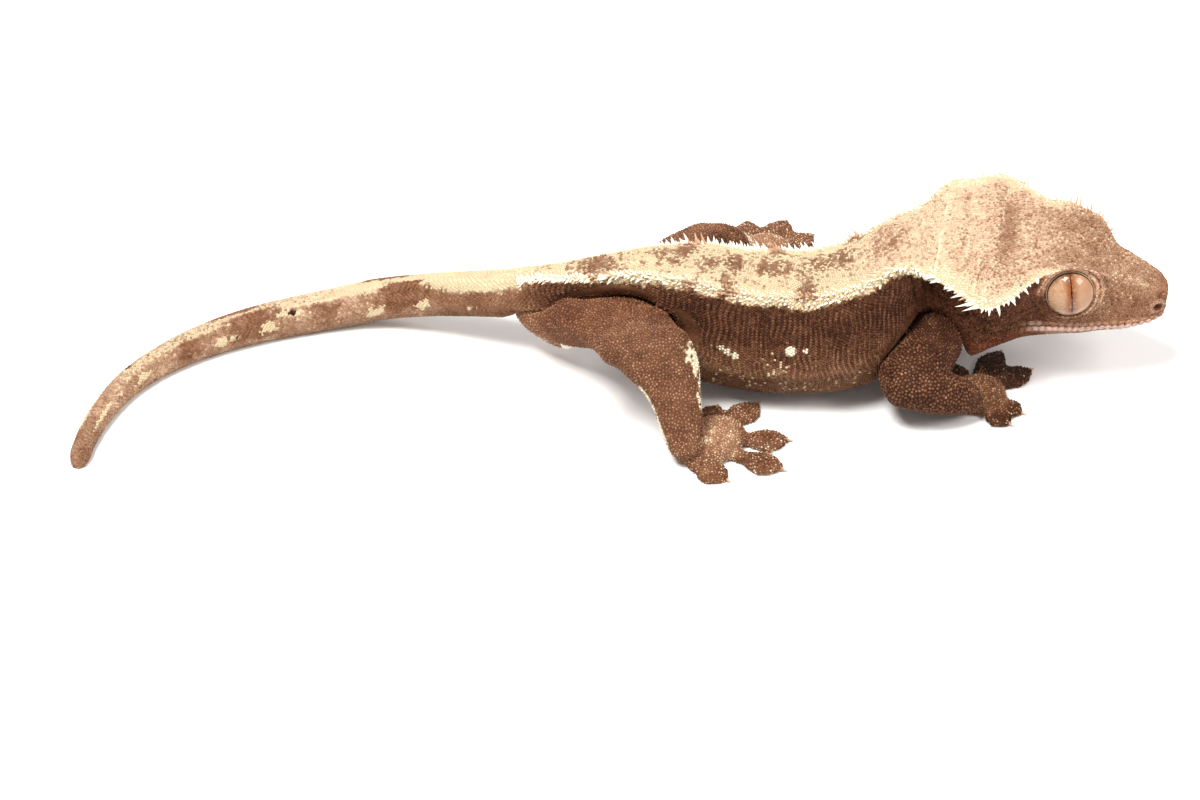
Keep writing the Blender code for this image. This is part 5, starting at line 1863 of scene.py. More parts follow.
def markings_group() -> bpy.types.NodeTree:
    """The markings that skin and scales share.

    Inputs are the four masks, a tip mask that is one at a scale's crown, and the object's
    coordinates. A ramp from dark umber to sand follows Tone, rose tints it, cream with an
    ochre edge and white spots lie over it, and fine noise varies the whole. The tip mask
    also paints light and shade: a crown is lighter, partly as a painted highlight and partly
    as the scale's own paler tip, and the grooves between scales are darker as painted shade.

    Returns:
        A node group with outputs Color, Roughness and Height.
    """
    group = bpy.data.node_groups.new("gecko_markings", "ShaderNodeTree")
    for in_out, sockets in (("INPUT", MARKINGS_INPUTS), ("OUTPUT", MARKINGS_OUTPUTS)):
        for name, kind in sockets.items():
            group.interface.new_socket(name=name, in_out=in_out, socket_type=kind)
    graph = Graph(group)
    inputs, outputs = graph.add("NodeGroupInput"), graph.add("NodeGroupOutput")
    mask = inputs.outputs
    broad = graph.speckle(mask["Place"], 2.2, 3.0)
    fine = graph.speckle(mask["Place"], 0.35, 2.0)
    tone = graph.math("ADD", mask["Tone"], graph.span(broad, 0.3, 0.7, -0.05, 0.05))
    tone = graph.math("ADD", tone, graph.span(fine, 0.25, 0.75, -0.06, 0.06))
    # A scale's crown is painted lighter: partly a painted highlight on its dome, partly its own paler tip.
    tone = graph.math("ADD", tone, graph.math("MULTIPLY", mask["Tip"], 0.13), clamp=True)
    ramp = graph.add("ShaderNodeValToRGB")
    stops = ramp.color_ramp.elements
    stops[0].position, stops[0].color = 0.0, (*PALETTE.umber, 1.0)
    stops[1].position, stops[1].color = 1.0, (*PALETTE.sand, 1.0)
    inner = ((0.22, PALETTE.coffee), (0.42, PALETTE.brown), (0.6, PALETTE.tan), (0.8, PALETTE.fawn))
    for position, colour in inner:
        stops.new(position).color = (*colour, 1.0)
    graph.join(tone, ramp.inputs["Fac"])
    rosy = graph.mix(1.0, ramp.outputs["Color"], ROSE_TINT, "MULTIPLY")
    colour = graph.mix(mask["Rose"], ramp.outputs["Color"], graph.mix(0.12, rosy, PALETTE.rose))
    ochre = graph.mix(0.5, PALETTE.ochre, colour)
    edge = graph.span(mask["Cream"], 0.1, 0.4, 0.0, 0.7)
    edge = graph.math("MULTIPLY", edge, graph.span(mask["Rose"], 0.14, 0.2, 1.0, 0.0))
    edge = graph.math("MULTIPLY", edge, graph.span(mask["Tone"], 0.4, 0.62, 1.0, 0.0))
    colour = graph.mix(edge, colour, ochre)
    creamy = graph.mix(mask["Rose"], PALETTE.cream, PALETTE.peach)
    # Painted shade on cream: towards a scale's foot cream turns to the darker groove colour, which fine
    # noise also flecks in.
    deep = graph.mix(mask["Rose"], PALETTE.groove, PALETTE.fawn)
    creamy = graph.mix(graph.span(mask["Tip"], 0.0, 0.8, 0.75, 0.0), creamy, deep)
    creamy = graph.mix(graph.span(fine, 0.3, 0.6, 0.22, 0.0), creamy, deep)
    colour = graph.mix(graph.span(mask["Cream"], 0.2, 0.8), colour, creamy)
    white = graph.mix(mask["Rose"], PALETTE.white, PALETTE.lip)
    colour = graph.mix(graph.span(mask["Pale"], 0.1, 0.9), colour, white)
    # Painted shade in the grooves between the scales, weaker where the colour is cream, pale or light tan.
    shade = graph.span(mask["Tip"], 0.0, 0.75, 0.85, 0.0)
    light = graph.math("MAXIMUM", mask["Cream"], graph.span(mask["Tone"], 0.6, 0.95, 0.0, 0.6))
    light = graph.math("MAXIMUM", light, mask["Pale"])
    shade = graph.math("MULTIPLY", shade, graph.span(light, 0.1, 0.9, 1.0, 0.15))
    colour = graph.mix(shade, colour, graph.mix(1.0, colour, GROOVE_SHADE, "MULTIPLY"))
    graph.join(colour, outputs.inputs["Color"])
    graph.join(graph.span(broad, 0.3, 0.7, 0.58, 0.72), outputs.inputs["Roughness"])
    graph.join(graph.math("ADD", fine, graph.math("MULTIPLY", broad, 0.5)), outputs.inputs["Height"])
    return group


@dataclass(frozen=True)
class MarkedFinish:
    """Dry, finely grained gecko skin, coloured by the masks on the mesh.

    Bump height and depth, how far light spreads under the surface, are in millimetres.
    """

    name: str
    tip: float | None = None  # a plain tip value, where the mesh has no tip mask; a low one paints the bare skin with the grooves' shade
    bump: float = 0.25
    bump_height: float = 0.06
    soften: float = 0.06
    depth: float = 0.6
    depth_colours: tuple = (1.0, 0.45, 0.3)
    gloss: float = 0.1

    def build(self, group: bpy.types.NodeTree) -> bpy.types.Material:
        """Makes the material round one copy of the markings group.

        Args:
            group: the markings group.

        Returns:
            The material.
        """
        material, graph, shader = new_material(self.name)
        marks = graph.add("ShaderNodeAttribute", attribute_name="marks")
        parts = graph.add("ShaderNodeSeparateColor")
        graph.join(marks.outputs["Color"], parts.inputs["Color"])
        where = graph.add("ShaderNodeTexCoord")
        node = graph.add("ShaderNodeGroup", node_tree=group)
        for part, name in (("Red", "Cream"), ("Green", "Tone"), ("Blue", "Rose")):
            graph.join(parts.outputs[part], node.inputs[name])
        graph.join(marks.outputs["Alpha"], node.inputs["Pale"])
        graph.join(where.outputs["Object"], node.inputs["Place"])
        if self.tip is None:
            tip = graph.add("ShaderNodeAttribute", attribute_name="tip")
            graph.join(tip.outputs["Fac"], node.inputs["Tip"])
        else:
            node.inputs["Tip"].default_value = self.tip
        graph.join(node.outputs["Color"], shader.inputs["Base Color"])
        graph.join(node.outputs["Roughness"], shader.inputs["Roughness"])
        relief = graph.add("ShaderNodeBump")
        relief.inputs["Strength"].default_value = self.bump
        relief.inputs["Distance"].default_value = self.bump_height * MM
        graph.join(node.outputs["Height"], relief.inputs["Height"])
        graph.join(relief.outputs["Normal"], shader.inputs["Normal"])
        shader.inputs["Specular IOR Level"].default_value = self.gloss
        shader.inputs["Subsurface Weight"].default_value = self.soften
        shader.inputs["Subsurface Radius"].default_value = self.depth_colours
        shader.inputs["Subsurface Scale"].default_value = self.depth * MM
        return material


@dataclass(frozen=True)
class Fringe:
    """A run of spines on both crest lines, between two stations.

    Spacing, length and width are in millimetres. Stand says how much of the flank's upward
    edge direction is added to the outward one of the back, at the first and last station.
    Column is where the row stands, with 2 on the crest itself, and stray is how far its
    spines leave it.
    """

    first: float
    last: float
    spacing: float
    length: float
    width: float
    stand: tuple
    column: float = 2.0
    stray: float = 0.02
    uneven: float = 0.3


FRINGES = (
    Fringe(12.2, 13.9, 1.1, 0.6, 0.7, (1.0, 1.0), 2.0, 0.06),
    Fringe(13.9, 16.6, 1.1, 1.15, 0.8, (1.0, 0.9), 2.0, 0.04),
    Fringe(16.6, 20.3, 1.1, 1.45, 0.85, (0.9, 0.7), 2.0, 0.04),
    Fringe(20.3, 23.3, 1.25, 1.75, 0.85, (0.6, 0.3)),
    Fringe(23.4, 27.05, 1.55, 2.15, 0.82, (0.22, 0.5), uneven=0.4),
    Fringe(27.2, 29.6, 0.95, 2.1, 0.48, (1.5, 0.9), uneven=0.25),
    Fringe(13.5, 20.4, 0.5, 0.65, 0.75, (0.5, 0.4), 2.2, 0.11, 0.5),
    Fringe(13.5, 20.4, 0.8, 0.85, 0.8, (0.7, 0.6), 2.08, 0.05, 0.5),
    Fringe(13.5, 22.9, 0.5, 0.6, 0.7, (1.4, 1.2), 1.82, 0.13, 0.5),
    Fringe(20.4, 23.3, 0.55, 0.75, 0.7, (0.3, 0.1), 2.1, 0.07, 0.5),
    Fringe(23.4, 27.0, 0.75, 0.8, 0.62, (0.1, 0.2), 2.03, 0.03, 0.5),
    Fringe(23.4, 27.0, 0.6, 0.5, 0.6, (1.0, 1.0), 1.88, 0.08, 0.4),
    Fringe(27.2, 29.4, 0.6, 0.6, 0.45, (1.8, 1.2), 1.9, 0.05, 0.4),
)
FAR_LIFT = 0.4  # how much more the left side's fringe on the head stands up than the right's
NEAR_LASH = 0.5  # length of the right brow's spines, as a share of the left's
HEAD_FROM, BROW_FROM = 20.0, 27.0  # stations after which a run is on the neck and head, and on a brow
EDGE_WITHIN = 2.05  # runs that stand at a lower column than this are on the crest's own edge


@dataclass
class Spines:
    """The pointed scales along the crests, from the tail's root to the brows.

    Lean, bend and sink are how far a spine leans back, bends back and stands in the skin, as
    shares of its length. Flatness is its thickness as a share of its width. Inner and outer
    are the columns beside the crest by which the directions of the back and flank are taken.
    """

    body: Body
    trunk: Trunk
    seed: int = 7
    lean: float = 0.22
    bend: float = 0.2
    sink: float = 0.35
    flatness: float = 0.6
    taper: float = 0.85
    inner: float = 0.35
    outer: float = 0.4
    around: int = 8
    rings: int = 6

    def rows(self) -> dict:
        """Length along the body, column, side, stand, height, width and lean of every spine."""
        chance = np.random.default_rng(self.seed)
        found = {key: [] for key in ("length", "column", "side", "stand", "tall", "wide", "lean")}
        for fringe in FRINGES:
            start, end = self.body.length_at(fringe.first), self.body.length_at(fringe.last)
            count = max(3, round((end - start) / fringe.spacing))
            for side in (LEFT, RIGHT):
                share = (np.arange(count) + 0.5 + chance.uniform(-0.28, 0.28, count)) / count
                size = 1.0 + fringe.uneven * chance.uniform(-1.0, 0.8, count)
                found["length"].append(start + (end - start) * share)
                found["column"].append(fringe.column + fringe.stray * chance.normal(0.0, 1.0, count))
                found["side"].append(np.full(count, side))
                spread = chance.uniform(-0.16, 0.16, count)
                if side == LEFT and fringe.first > HEAD_FROM and fringe.column < EDGE_WITHIN:
                    spread += FAR_LIFT
                low, high = fringe.stand
                found["stand"].append(low + (high - low) * share + spread)
                if side == RIGHT and fringe.first > BROW_FROM:
                    size = size * NEAR_LASH
                found["tall"].append(fringe.length * size)
                found["wide"].append(fringe.width * (0.75 + 0.25 * size))
                found["lean"].append(self.lean + chance.uniform(-0.16, 0.16, count))
        return {key: np.concatenate(value) for key, value in found.items()}

    def build(self, marks: "Markings", material: bpy.types.Material) -> bpy.types.Object:
        """Curved cones: flattened rings that shrink along a bent axis, closed at both ends.

        At height t the axis is root + t * way + t squared * bend * back, and the ring's half
        sizes are those of the base times (1 - t) to the power of the taper.

        Args:
            marks: where the spines' colours come from.
            material: the finish that they share with the coat.

        Returns:
            One piece that holds every spine.
        """
        row = self.rows()
        root, normal, _ = self.trunk.at(row["length"], row["column"], row["side"])
        crest = np.full(len(root), float(RIDGE))
        edge, _, ahead = self.trunk.at(row["length"], crest, row["side"])
        inner = self.trunk.at(row["length"], crest - self.inner, row["side"])[0]
        outer = self.trunk.at(row["length"], crest + self.outer, row["side"])[0]

        way = square_to(edge - inner, ahead) + row["stand"][:, None] * square_to(edge - outer, ahead)
        way = unit(unit(way) + 0.3 * normal - row["lean"][:, None] * ahead)
        along = square_to(ahead, way)
        thick = np.cross(along, way)
        t = np.linspace(0.0, 1.0, self.rings + 1)[:-1]
        turn_round = full_turn(self.around)
        size = (1.0 - t) ** self.taper
        tall, wide = row["tall"][:, None, None], row["wide"][:, None, None]
        lift = (t * (1.0 + self.sink) - self.sink)[None, :, None] * tall
        axis = root[:, None] + lift * way[:, None]
        axis = axis - (t**2)[None, :, None] * self.bend * tall * ahead[:, None]
        ring = 0.5 * wide[..., None] * size[None, :, None, None] * (
            np.cos(turn_round)[None, None, :, None] * along[:, None, None]
            + self.flatness * np.sin(turn_round)[None, None, :, None] * thick[:, None, None]
        )
        rings = axis[:, :, None] + ring
        apex = root + way * row["tall"][:, None] - self.bend * row["tall"][:, None] * ahead
        foot = axis[:, 0]
        count, per = len(root), self.rings * self.around + 2
        points = np.concatenate([rings.reshape(count, -1, 3), apex[:, None], foot[:, None]], axis=1)
        c = np.arange(self.around)
        last = (self.rings - 1) * self.around
        one = [
            *ring_faces(0, self.rings, self.around).tolist(),
            *np.stack([last + c, last + (c + 1) % self.around, np.full_like(c, per - 2)], axis=1).tolist(),
            *np.stack([(c + 1) % self.around, c, np.full_like(c, per - 1)], axis=1).tolist(),
        ]
        faces = [[k + first for k in face] for first in range(0, count * per, per) for face in one]
        made = mesh_object("crest_spines", place(points.reshape(-1, 3)), faces)
        face_outward(made.data)
        region = np.full(count, Region.BODY.value)
        masks = marks.masks(root, region, row["length"], row["column"], row["side"])
        write_values(made.data, "marks", np.repeat(masks, per, axis=0))
        # The tip mask paints each spine's root darker as shade and lightens it towards its point.
        tip = np.concatenate([np.repeat(0.25 + 0.75 * t, self.around), [1.0, 0.2]])
        write_values(made.data, "tip", np.tile(tip, count))
        return dress(made, material)


def face_outward(mesh: bpy.types.Mesh) -> None:
    """Turns every closed shell of a mesh so that its faces point outward.

    Args:
        mesh: the mesh to change.
    """
    work = bmesh.new()
    work.from_mesh(mesh)
    bmesh.ops.recalc_face_normals(work, faces=work.faces)
    work.to_mesh(mesh)
    work.free()


class Cover(Enum):
    """Where on the animal one kind of scale grows."""

    TRUNK = 0
    HEAD = 1
    ARM = 2
    LEG = 3
    TOES = 4
    VENT = 5
    LIPS = 6


@dataclass(frozen=True)
class Grain:
    """One kind of scale: how far apart, how high and how domed it stands.

    Spacing and height are in millimetres. Rings is 1 for a low cone and 2 for a dome. Contrast and
    jitter are how much its scales differ in tone, and in cream where cream meets brown.
    """

    spacing: float
    height: float
    rings: int
    contrast: float
    jitter: float = 0.1


GRAINS = {
    Cover.TRUNK: Grain(0.45, 0.17, 1, 0.09, 0.42),
    Cover.HEAD: Grain(0.42, 0.15, 2, 0.16, 0.16),
    Cover.ARM: Grain(0.58, 0.22, 2, 0.08),
    Cover.LEG: Grain(0.5, 0.18, 1, 0.11),
    Cover.TOES: Grain(0.44, 0.17, 1, 0.2),
    Cover.VENT: Grain(0.52, 0.18, 1, 0.07),
    Cover.LIPS: Grain(1.12, 0.1, 2, 0.05),
}
THROW_GAP = 0.86  # least distance between thrown points, as a share of the grain's spacing
THROW_MANY = 6.0  # points thrown on a square of that spacing, before those too near are dropped
SIDES_OF_SCALE = 6
SHOULDER_TO = 0.42  # stretch along an arm up to which its scales are as fine as a leg's
TOES_FROM = 1.9  # stretch along a limb from which the scales of hands and feet grow
ARMS_FROM = 40.0  # X from which a limb's point is on an arm
FEW = 20  # a limb with fewer scales of a kind than this gets no piece of it
LIP_ROWS = ((4.83, 1.2), (5.17, 1.05), (5.34, 0.8))  # column and step in millimetres
LIP_STATIONS = (26.9, 34.6)

TAIL_NODES = ("tail_tip", "tail_middle", "tail_base")
TRUNK_NODES = ("hips", "torso", "neck")
HEAD_NODES = ("head", "lower_jaw")
ARM_NODES = ("upper_arm", "forearm")
LEG_NODES = ("thigh", "shin")


@dataclass
class Roots:
    """Where scales stand: places, normals, ways ahead, masks and their places on the body."""

    points: Array
    normals: Array
    marks: Array
    region: Array
    along: Array
    column: Array
    side: Array
    seam: Array

    def pick(self, keep: Array) -> "Roots":
        """The roots for which a condition holds."""
        return Roots(*(getattr(self, name)[keep] for name in self.__dataclass_fields__))


def new_geometry_tree(name: str) -> tuple:
    """An empty Geometry Nodes tree with its input and output nodes."""
    tree = bpy.data.node_groups.new(name, "GeometryNodeTree")
    for in_out in ("INPUT", "OUTPUT"):
        tree.interface.new_socket(name="Geometry", in_out=in_out, socket_type="NodeSocketGeometry")
    return tree, Graph(tree).add("NodeGroupInput"), Graph(tree).add("NodeGroupOutput")


def run_tree(made: bpy.types.Object, tree: bpy.types.NodeTree) -> bpy.types.Mesh:
    """Applies a Geometry Nodes tree to an object, which is used up.

    Args:
        made: the object, which is used up.
        tree: the tree, which is removed.

    Returns:
        The mesh that the tree puts out.
    """
    modifier = made.modifiers.new("Nodes", "NODES")
    modifier.node_group = tree
    result = evaluated_mesh(made)
    bpy.data.node_groups.remove(tree)
    return result


def scatter(skin: bpy.types.Mesh, cover: Cover, spacing: float, seed: int) -> Array:
    """Points spread evenly over the part of the skin that has one cover.

    Geometry Nodes throws points on the faces and drops those nearer than the spacing.

    Args:
        skin: the skin's mesh, with a value named cover on its points.
        cover: the part to fill.
        spacing: least distance in millimetres.
        seed: the seed of the throw.

    Returns:
        The places, in the stations' frame.
    """
    carrier = new_object("scatter", skin.copy())
    tree, entry, end = new_geometry_tree("scatter")
    graph = Graph(tree)
    value = graph.add("GeometryNodeInputNamedAttribute", data_type="FLOAT")
    value.inputs["Name"].default_value = "cover"
    same = graph.add("FunctionNodeCompare", data_type="FLOAT", operation="EQUAL")
    graph.join(value.outputs["Attribute"], same.inputs["A"])
    same.inputs["B"].default_value = float(cover.value)
    same.inputs["Epsilon"].default_value = 0.45
    throw = graph.add("GeometryNodeDistributePointsOnFaces", distribute_method="POISSON")
    graph.join(entry.outputs[0], throw.inputs["Mesh"])
    graph.join(same.outputs["Result"], throw.inputs["Selection"])
    throw.inputs["Distance Min"].default_value = spacing * THROW_GAP
    throw.inputs["Density Max"].default_value = THROW_MANY / spacing**2
    throw.inputs["Seed"].default_value = seed
    turned = graph.add("GeometryNodePointsToVertices")
    graph.join(throw.outputs["Points"], turned.inputs["Points"])
    graph.join(turned.outputs[0], end.inputs[0])
    result = run_tree(carrier, tree)
    points = read_points(result)
    bpy.data.meshes.remove(result)
    return points


def settle(points: Array, skin: bpy.types.Mesh) -> tuple:
    """Puts points on the nearest spot of the skin and reads what the skin knows there.

    Args:
        points: places near the skin.
        skin: the skin's mesh with its values.

    Returns:
        The roots, in the points' order, and how far each has moved.
    """
    target = new_object("settle_on", skin)
    carrier = mesh_object("settle", points, [])
    tree, entry, end = new_geometry_tree("settle")
    graph = Graph(tree)
    info = graph.add("GeometryNodeObjectInfo")
    info.inputs["Object"].default_value = target
    near = graph.add("GeometryNodeProximity", target_element="FACES")
    graph.join(info.outputs["Geometry"], near.inputs[0])
    flow = entry.outputs[0]

    def keep(name: str, kind: str, value: bpy.types.NodeSocket) -> None:
        """Stores a value on the points.

        Args:
            name: the value's name.
            kind: its data type.
            value: its socket.
        """
        nonlocal flow
        store = graph.add("GeometryNodeStoreNamedAttribute", data_type=kind, domain="POINT")
        store.inputs["Name"].default_value = name
        graph.join(flow, store.inputs["Geometry"])
        graph.join(value, store.inputs["Value"])
        flow = store.outputs["Geometry"]

    keep("moved", "FLOAT", near.outputs["Distance"])
    sources = [("normal", "FLOAT_VECTOR", graph.add("GeometryNodeInputNormal").outputs[0])]
    for name, kind in (("marks", "FLOAT_COLOR"), *((name, "FLOAT") for name in KNOWN)):
        value = graph.add("GeometryNodeInputNamedAttribute", data_type=kind)
        value.inputs["Name"].default_value = name
        sources.append((name, kind, value.outputs["Attribute"]))
    for name, kind, value in sources:
        sample = graph.add("GeometryNodeSampleNearestSurface", data_type=kind)
        graph.join(info.outputs["Geometry"], sample.inputs["Mesh"])
        graph.join(value, sample.inputs["Value"])
        keep(name, kind, sample.outputs["Value"])
    move = graph.add("GeometryNodeSetPosition")
    graph.join(flow, move.inputs["Geometry"])
    graph.join(near.outputs["Position"], move.inputs["Position"])
    graph.join(move.outputs[0], end.inputs[0])
    result = run_tree(carrier, tree)
    bpy.data.objects.remove(target, do_unlink=True)
    count = len(result.vertices)
    normals, marks = np.empty(3 * count, np.float32), np.empty(4 * count, np.float32)
    result.attributes["normal"].data.foreach_get("vector", normals)
    result.attributes["marks"].data.foreach_get("color", marks)
    roots = Roots(
        read_points(result),
        unit(normals.reshape(-1, 3).astype(float)),
        marks.reshape(-1, 4).astype(float),
        *(read_values(result, name) for name in KNOWN),
    )
    moved = read_values(result, "moved")
    bpy.data.meshes.remove(result)
    return roots, moved


@dataclass
class Coat:
    """The small scales over all of the skin, in rows on trunk and tail and scattered elsewhere.

    Patch is how wide a scale is on its piece's map. Rings stand the ring gap apart, as a share of
    the spacing, stray is how far a ring's scales leave it, and ring steps is how many steps the
    arc of half a ring is measured in. Widths and heights are the least and the most that one scale is
    off its grain's spacing and height, and ragged is the same for the corners of its ring. Sink
    is how deep the ring lies and back how far the apex moves, both as shares of the scale's own
    height and radius. Shoulder and shoulder height place a dome's upper ring in the same way.
    """

    body: Body
    trunk: Trunk
    skin: bpy.types.Mesh
    material: bpy.types.Material
    marks: Markings
    seed: int = 11
    patch: float = 0.003
    ring_gap: float = 0.9
    stray: float = 0.05
    ring_steps: int = 84
    widths: tuple = (0.5, 0.6)
    heights: tuple = (0.8, 1.2)
    ragged: tuple = (0.88, 1.1)
    sink: float = 0.22
    back: float = 0.18
    shoulder: float = 0.62
    shoulder_height: float = 0.74
    shoulder_tip: float = 0.72

    def rows(self, first: float, last: float, spacing: float) -> tuple:
        """Places in rings along the body, evenly spaced round each ring.

        A ring stands at each step of length, waved by noise. Its places lie at equal shares of
        the arc round it, and every other ring is turned by half a step.

        Args:
            first: length of the first ring.
            last: length of the last ring.
            spacing: millimetres between places.

        Returns:
            Points, and whether the ring of each is an even one.
        """
        lengths = np.arange(first, last, spacing * self.ring_gap)
        columns = np.linspace(0.0, float(CHIN), self.ring_steps + 1)
        grid = self.body.surface(lengths, columns)
        loop = np.concatenate([grid, grid[:, :1]], axis=1)
        arc = np.cumsum(np.linalg.norm(np.diff(loop, axis=1), axis=2), axis=1)
        arc = np.concatenate([np.zeros((len(lengths), 1)), arc], axis=1)
        rings, whole = [], 2 * self.ring_steps
        for number, (length, run) in enumerate(zip(lengths, arc)):
            count = max(8, round(run[-1] / spacing))
            share = (np.arange(count) + 0.5 * (number % 2)) / count
            spot = np.interp(share * run[-1], run, np.arange(whole + 1))
            side = np.where(spot <= whole / 2, LEFT, RIGHT)
            column = np.where(spot <= whole / 2, spot, whole - spot) * CHIN / (whole / 2)
            even = np.full(count, number % 2 == 0)
            rings.append(np.stack([np.full(count, length), column, side, even], axis=1))
        found = np.concatenate(rings)
        chance = np.random.default_rng(self.seed)
        shift = chance.normal(0.0, self.stray * spacing, len(found))
        wave_place = np.stack([found[:, 0] * 0.3, found[:, 1] * 2.2 * found[:, 2], 0 * shift], axis=1)
        wave = spacing * (2.2 * noise(wave_place, 2.8, 61) + 1.1 * noise(wave_place, 0.9, 62))
        return found[:, 0] + shift + wave, found[:, 1], found[:, 2], found[:, 3] > 0.5

    def tail_points(self, lengths: Array, columns: Array, sides: Array) -> Array:
        """Places on the plain loft, which the tail follows.

        Between two named points of the ring, each place is on the cubic with the slopes of the
        points beside them, as in the body's own profile where nothing breaks.

        Args:
            lengths: lengths along the body.
            columns: columns from 0 to 7.
            sides: side of the body for each.

        Returns:
            The places, a row for each.
        """
        order = np.argsort(lengths, kind="stable")
        centre, left, up = self.body.frame_at(lengths[order])
        named, ghost = self.body.named_points(lengths[order])
        slope = 0.5 * (ghost[:, 2:] - ghost[:, :-2])
        column = columns[order]
        low = np.clip(np.floor(column).astype(int), 0, 6)
        row = np.arange(len(low))
        ends = (named[row, low], slope[row, low], named[row, low + 1], slope[row, low + 1])
        flat = cubic((column - low)[:, None], 1.0, *ends)
        found = centre + sides[order][:, None] * flat[:, :1] * left + flat[:, 1:] * up
        points = np.empty_like(found)
        points[order] = found
        return points

    def grow(
        self,
        name: str,
        roots: Roots,
        cover: Cover,
        chart: Array,
        scale: Array | float = 1.0,
        lift: Array | float = 1.0,
    ) -> bpy.types.Object:
        """One piece of the coat: a small dome at every root.

        A dome is a ragged six-sided ring just under the skin, for two-ringed grains a narrower
        one above it, an apex moved a little backward, and a point below. Its map is a small
        copy of the ring at the root's place on the chart.

        Args:
            name: the piece's name.
            roots: where the scales stand.
            cover: the kind of scale.
            chart: each root's place on the piece's map.
            scale: how wide each scale is, as a factor.
            lift: how high each scale is, as a factor.

        Returns:
            The piece, with its masks, tips, map and finish.
        """
        grain = GRAINS[cover]
        chance = np.random.default_rng(self.seed + len(roots.points))
        count = len(roots.points)
        ahead = np.zeros((count, 3))
        ahead[:, 0] = 1.0
        u = unit(ahead - (ahead * roots.normals).sum(1)[:, None] * roots.normals + 1e-4)
        v = np.cross(roots.normals, u)
        radius = grain.spacing * scale * chance.uniform(*self.widths, count)
        height = grain.height * lift * chance.uniform(*self.heights, count)
        c = np.arange(SIDES_OF_SCALE)
        angle = c * np.pi / 3 + chance.uniform(-0.25, 0.25, (count, 1))
        ragged = chance.uniform(*self.ragged, (count, SIDES_OF_SCALE)) * radius[:, None]
        ring = (np.cos(angle) * ragged)[..., None] * u[:, None]
        ring = ring + (np.sin(angle) * ragged)[..., None] * v[:, None]
        n = roots.normals[:, None]
        root = roots.points[:, None]
        low = root + ring - (self.sink * height + 0.02)[:, None, None] * n
        back = -self.back * radius[:, None, None] * u[:, None]
        rings = [low]
        tips = [np.zeros(SIDES_OF_SCALE)]
        if grain.rings == 2:
            upper = root + self.shoulder * ring + 0.5 * back
            rings.append(upper + self.shoulder_height * height[:, None, None] * n)
            tips.append(np.full(SIDES_OF_SCALE, self.shoulder_tip))
        apex = root + back + height[:, None, None] * n
        foot = root - (self.sink * height + 0.08)[:, None, None] * n
        points = np.concatenate([*rings, apex, foot], axis=1)
        per = points.shape[1]
        after = (c + 1) % SIDES_OF_SCALE
        top = SIDES_OF_SCALE * (grain.rings - 1)
        corners = [(c + top, after + top, np.full_like(c, per - 2))]
        if grain.rings == 2:
            corners += [(c, after, after + top), (c, after + top, c + top)]
        corners.append((after, c, np.full_like(c, per - 1)))
        one = np.concatenate([np.stack(three, axis=1) for three in corners])
        every = (one[None] + (np.arange(count) * per)[:, None, None]).reshape(-1, 3)
        mesh = bpy.data.meshes.new(name)
        mesh.vertices.add(count * per)
        mesh.vertices.foreach_set("co", place(points.reshape(-1, 3)).astype(np.float32).ravel())
        mesh.loops.add(every.size)
        mesh.loops.foreach_set("vertex_index", every.ravel().astype(np.int32))
        mesh.polygons.add(len(every))
        mesh.polygons.foreach_set("loop_start", np.arange(0, every.size, 3, dtype=np.int32))
        mesh.update(calc_edges=True)
        masks = roots.marks.copy()
        masks[:, 1] += grain.contrast * chance.normal(0.0, 0.5, count)
        between = masks[:, 0] * (1.0 - masks[:, 0]) * 4.0
        masks[:, 0] += between * chance.normal(0.0, grain.jitter, count)
        write_values(mesh, "marks", np.repeat(np.clip(masks, 0.0, 1.0), per, axis=0))
        # The tip mask, 0 on the ring and 1 at the apex, places the painted groove shade and the lighter
        # crown.
        write_values(mesh, "tip", np.tile(np.concatenate([*tips, [1.0, 0.0]]), count))
        spot = np.stack([np.cos(c * np.pi / 3), np.sin(c * np.pi / 3)], axis=1)
        spot = np.tile(spot, (grain.rings, 1))
        size = np.repeat([1.0, self.shoulder][: grain.rings], SIDES_OF_SCALE)[:, None]
        spot = np.concatenate([0.5 * self.patch * size * spot, np.zeros((2, 2))])
        flat = np.clip(chart[:, None] + spot[None], 0.0, 1.0).reshape(-1, 2)
        layer = mesh.uv_layers.new(name="OFBake")
        layer.data.foreach_set("uv", flat[every.ravel()].astype(np.float32).ravel())
        return dress(new_object(name, mesh), self.material)

    def build(self) -> list:
        """Grows every piece and returns each with the nodes that it stands over."""
        hips, neck, end = self.body.length_at((HIPS_AT, NECK_AT, len(STATIONS) - 1.0)).tolist()
        return [
            self.tail(hips),
            *self.trunk_sides(hips, neck),
            *self.head_sides(neck, end),
            *self.limbs(),
            self.lips(neck, end),
            self.vent(),
        ]

    def tail(self, hips: float) -> tuple:
        """The tail's rows, of which every other one stands a little higher.

        Args:
            hips: length along the body where the tail's piece ends.

        Returns:
            The piece and its nodes.
        """
        lengths, columns, sides, even = self.rows(0.15, hips, GRAINS[Cover.TRUNK].spacing)
        roots, kept = self.on_trunk(self.tail_points(lengths, columns, sides))
        lift = 1.0 + 0.25 * np.where(even[kept], 1.0, -1.0)
        half_way = np.sign(roots.side) * roots.column / (2.0 * CHIN)
        chart = np.stack([roots.along / hips, 0.5 + half_way], axis=1)
        return self.grow("scales_tail", roots, Cover.TRUNK, chart, 0.98, lift), TAIL_NODES

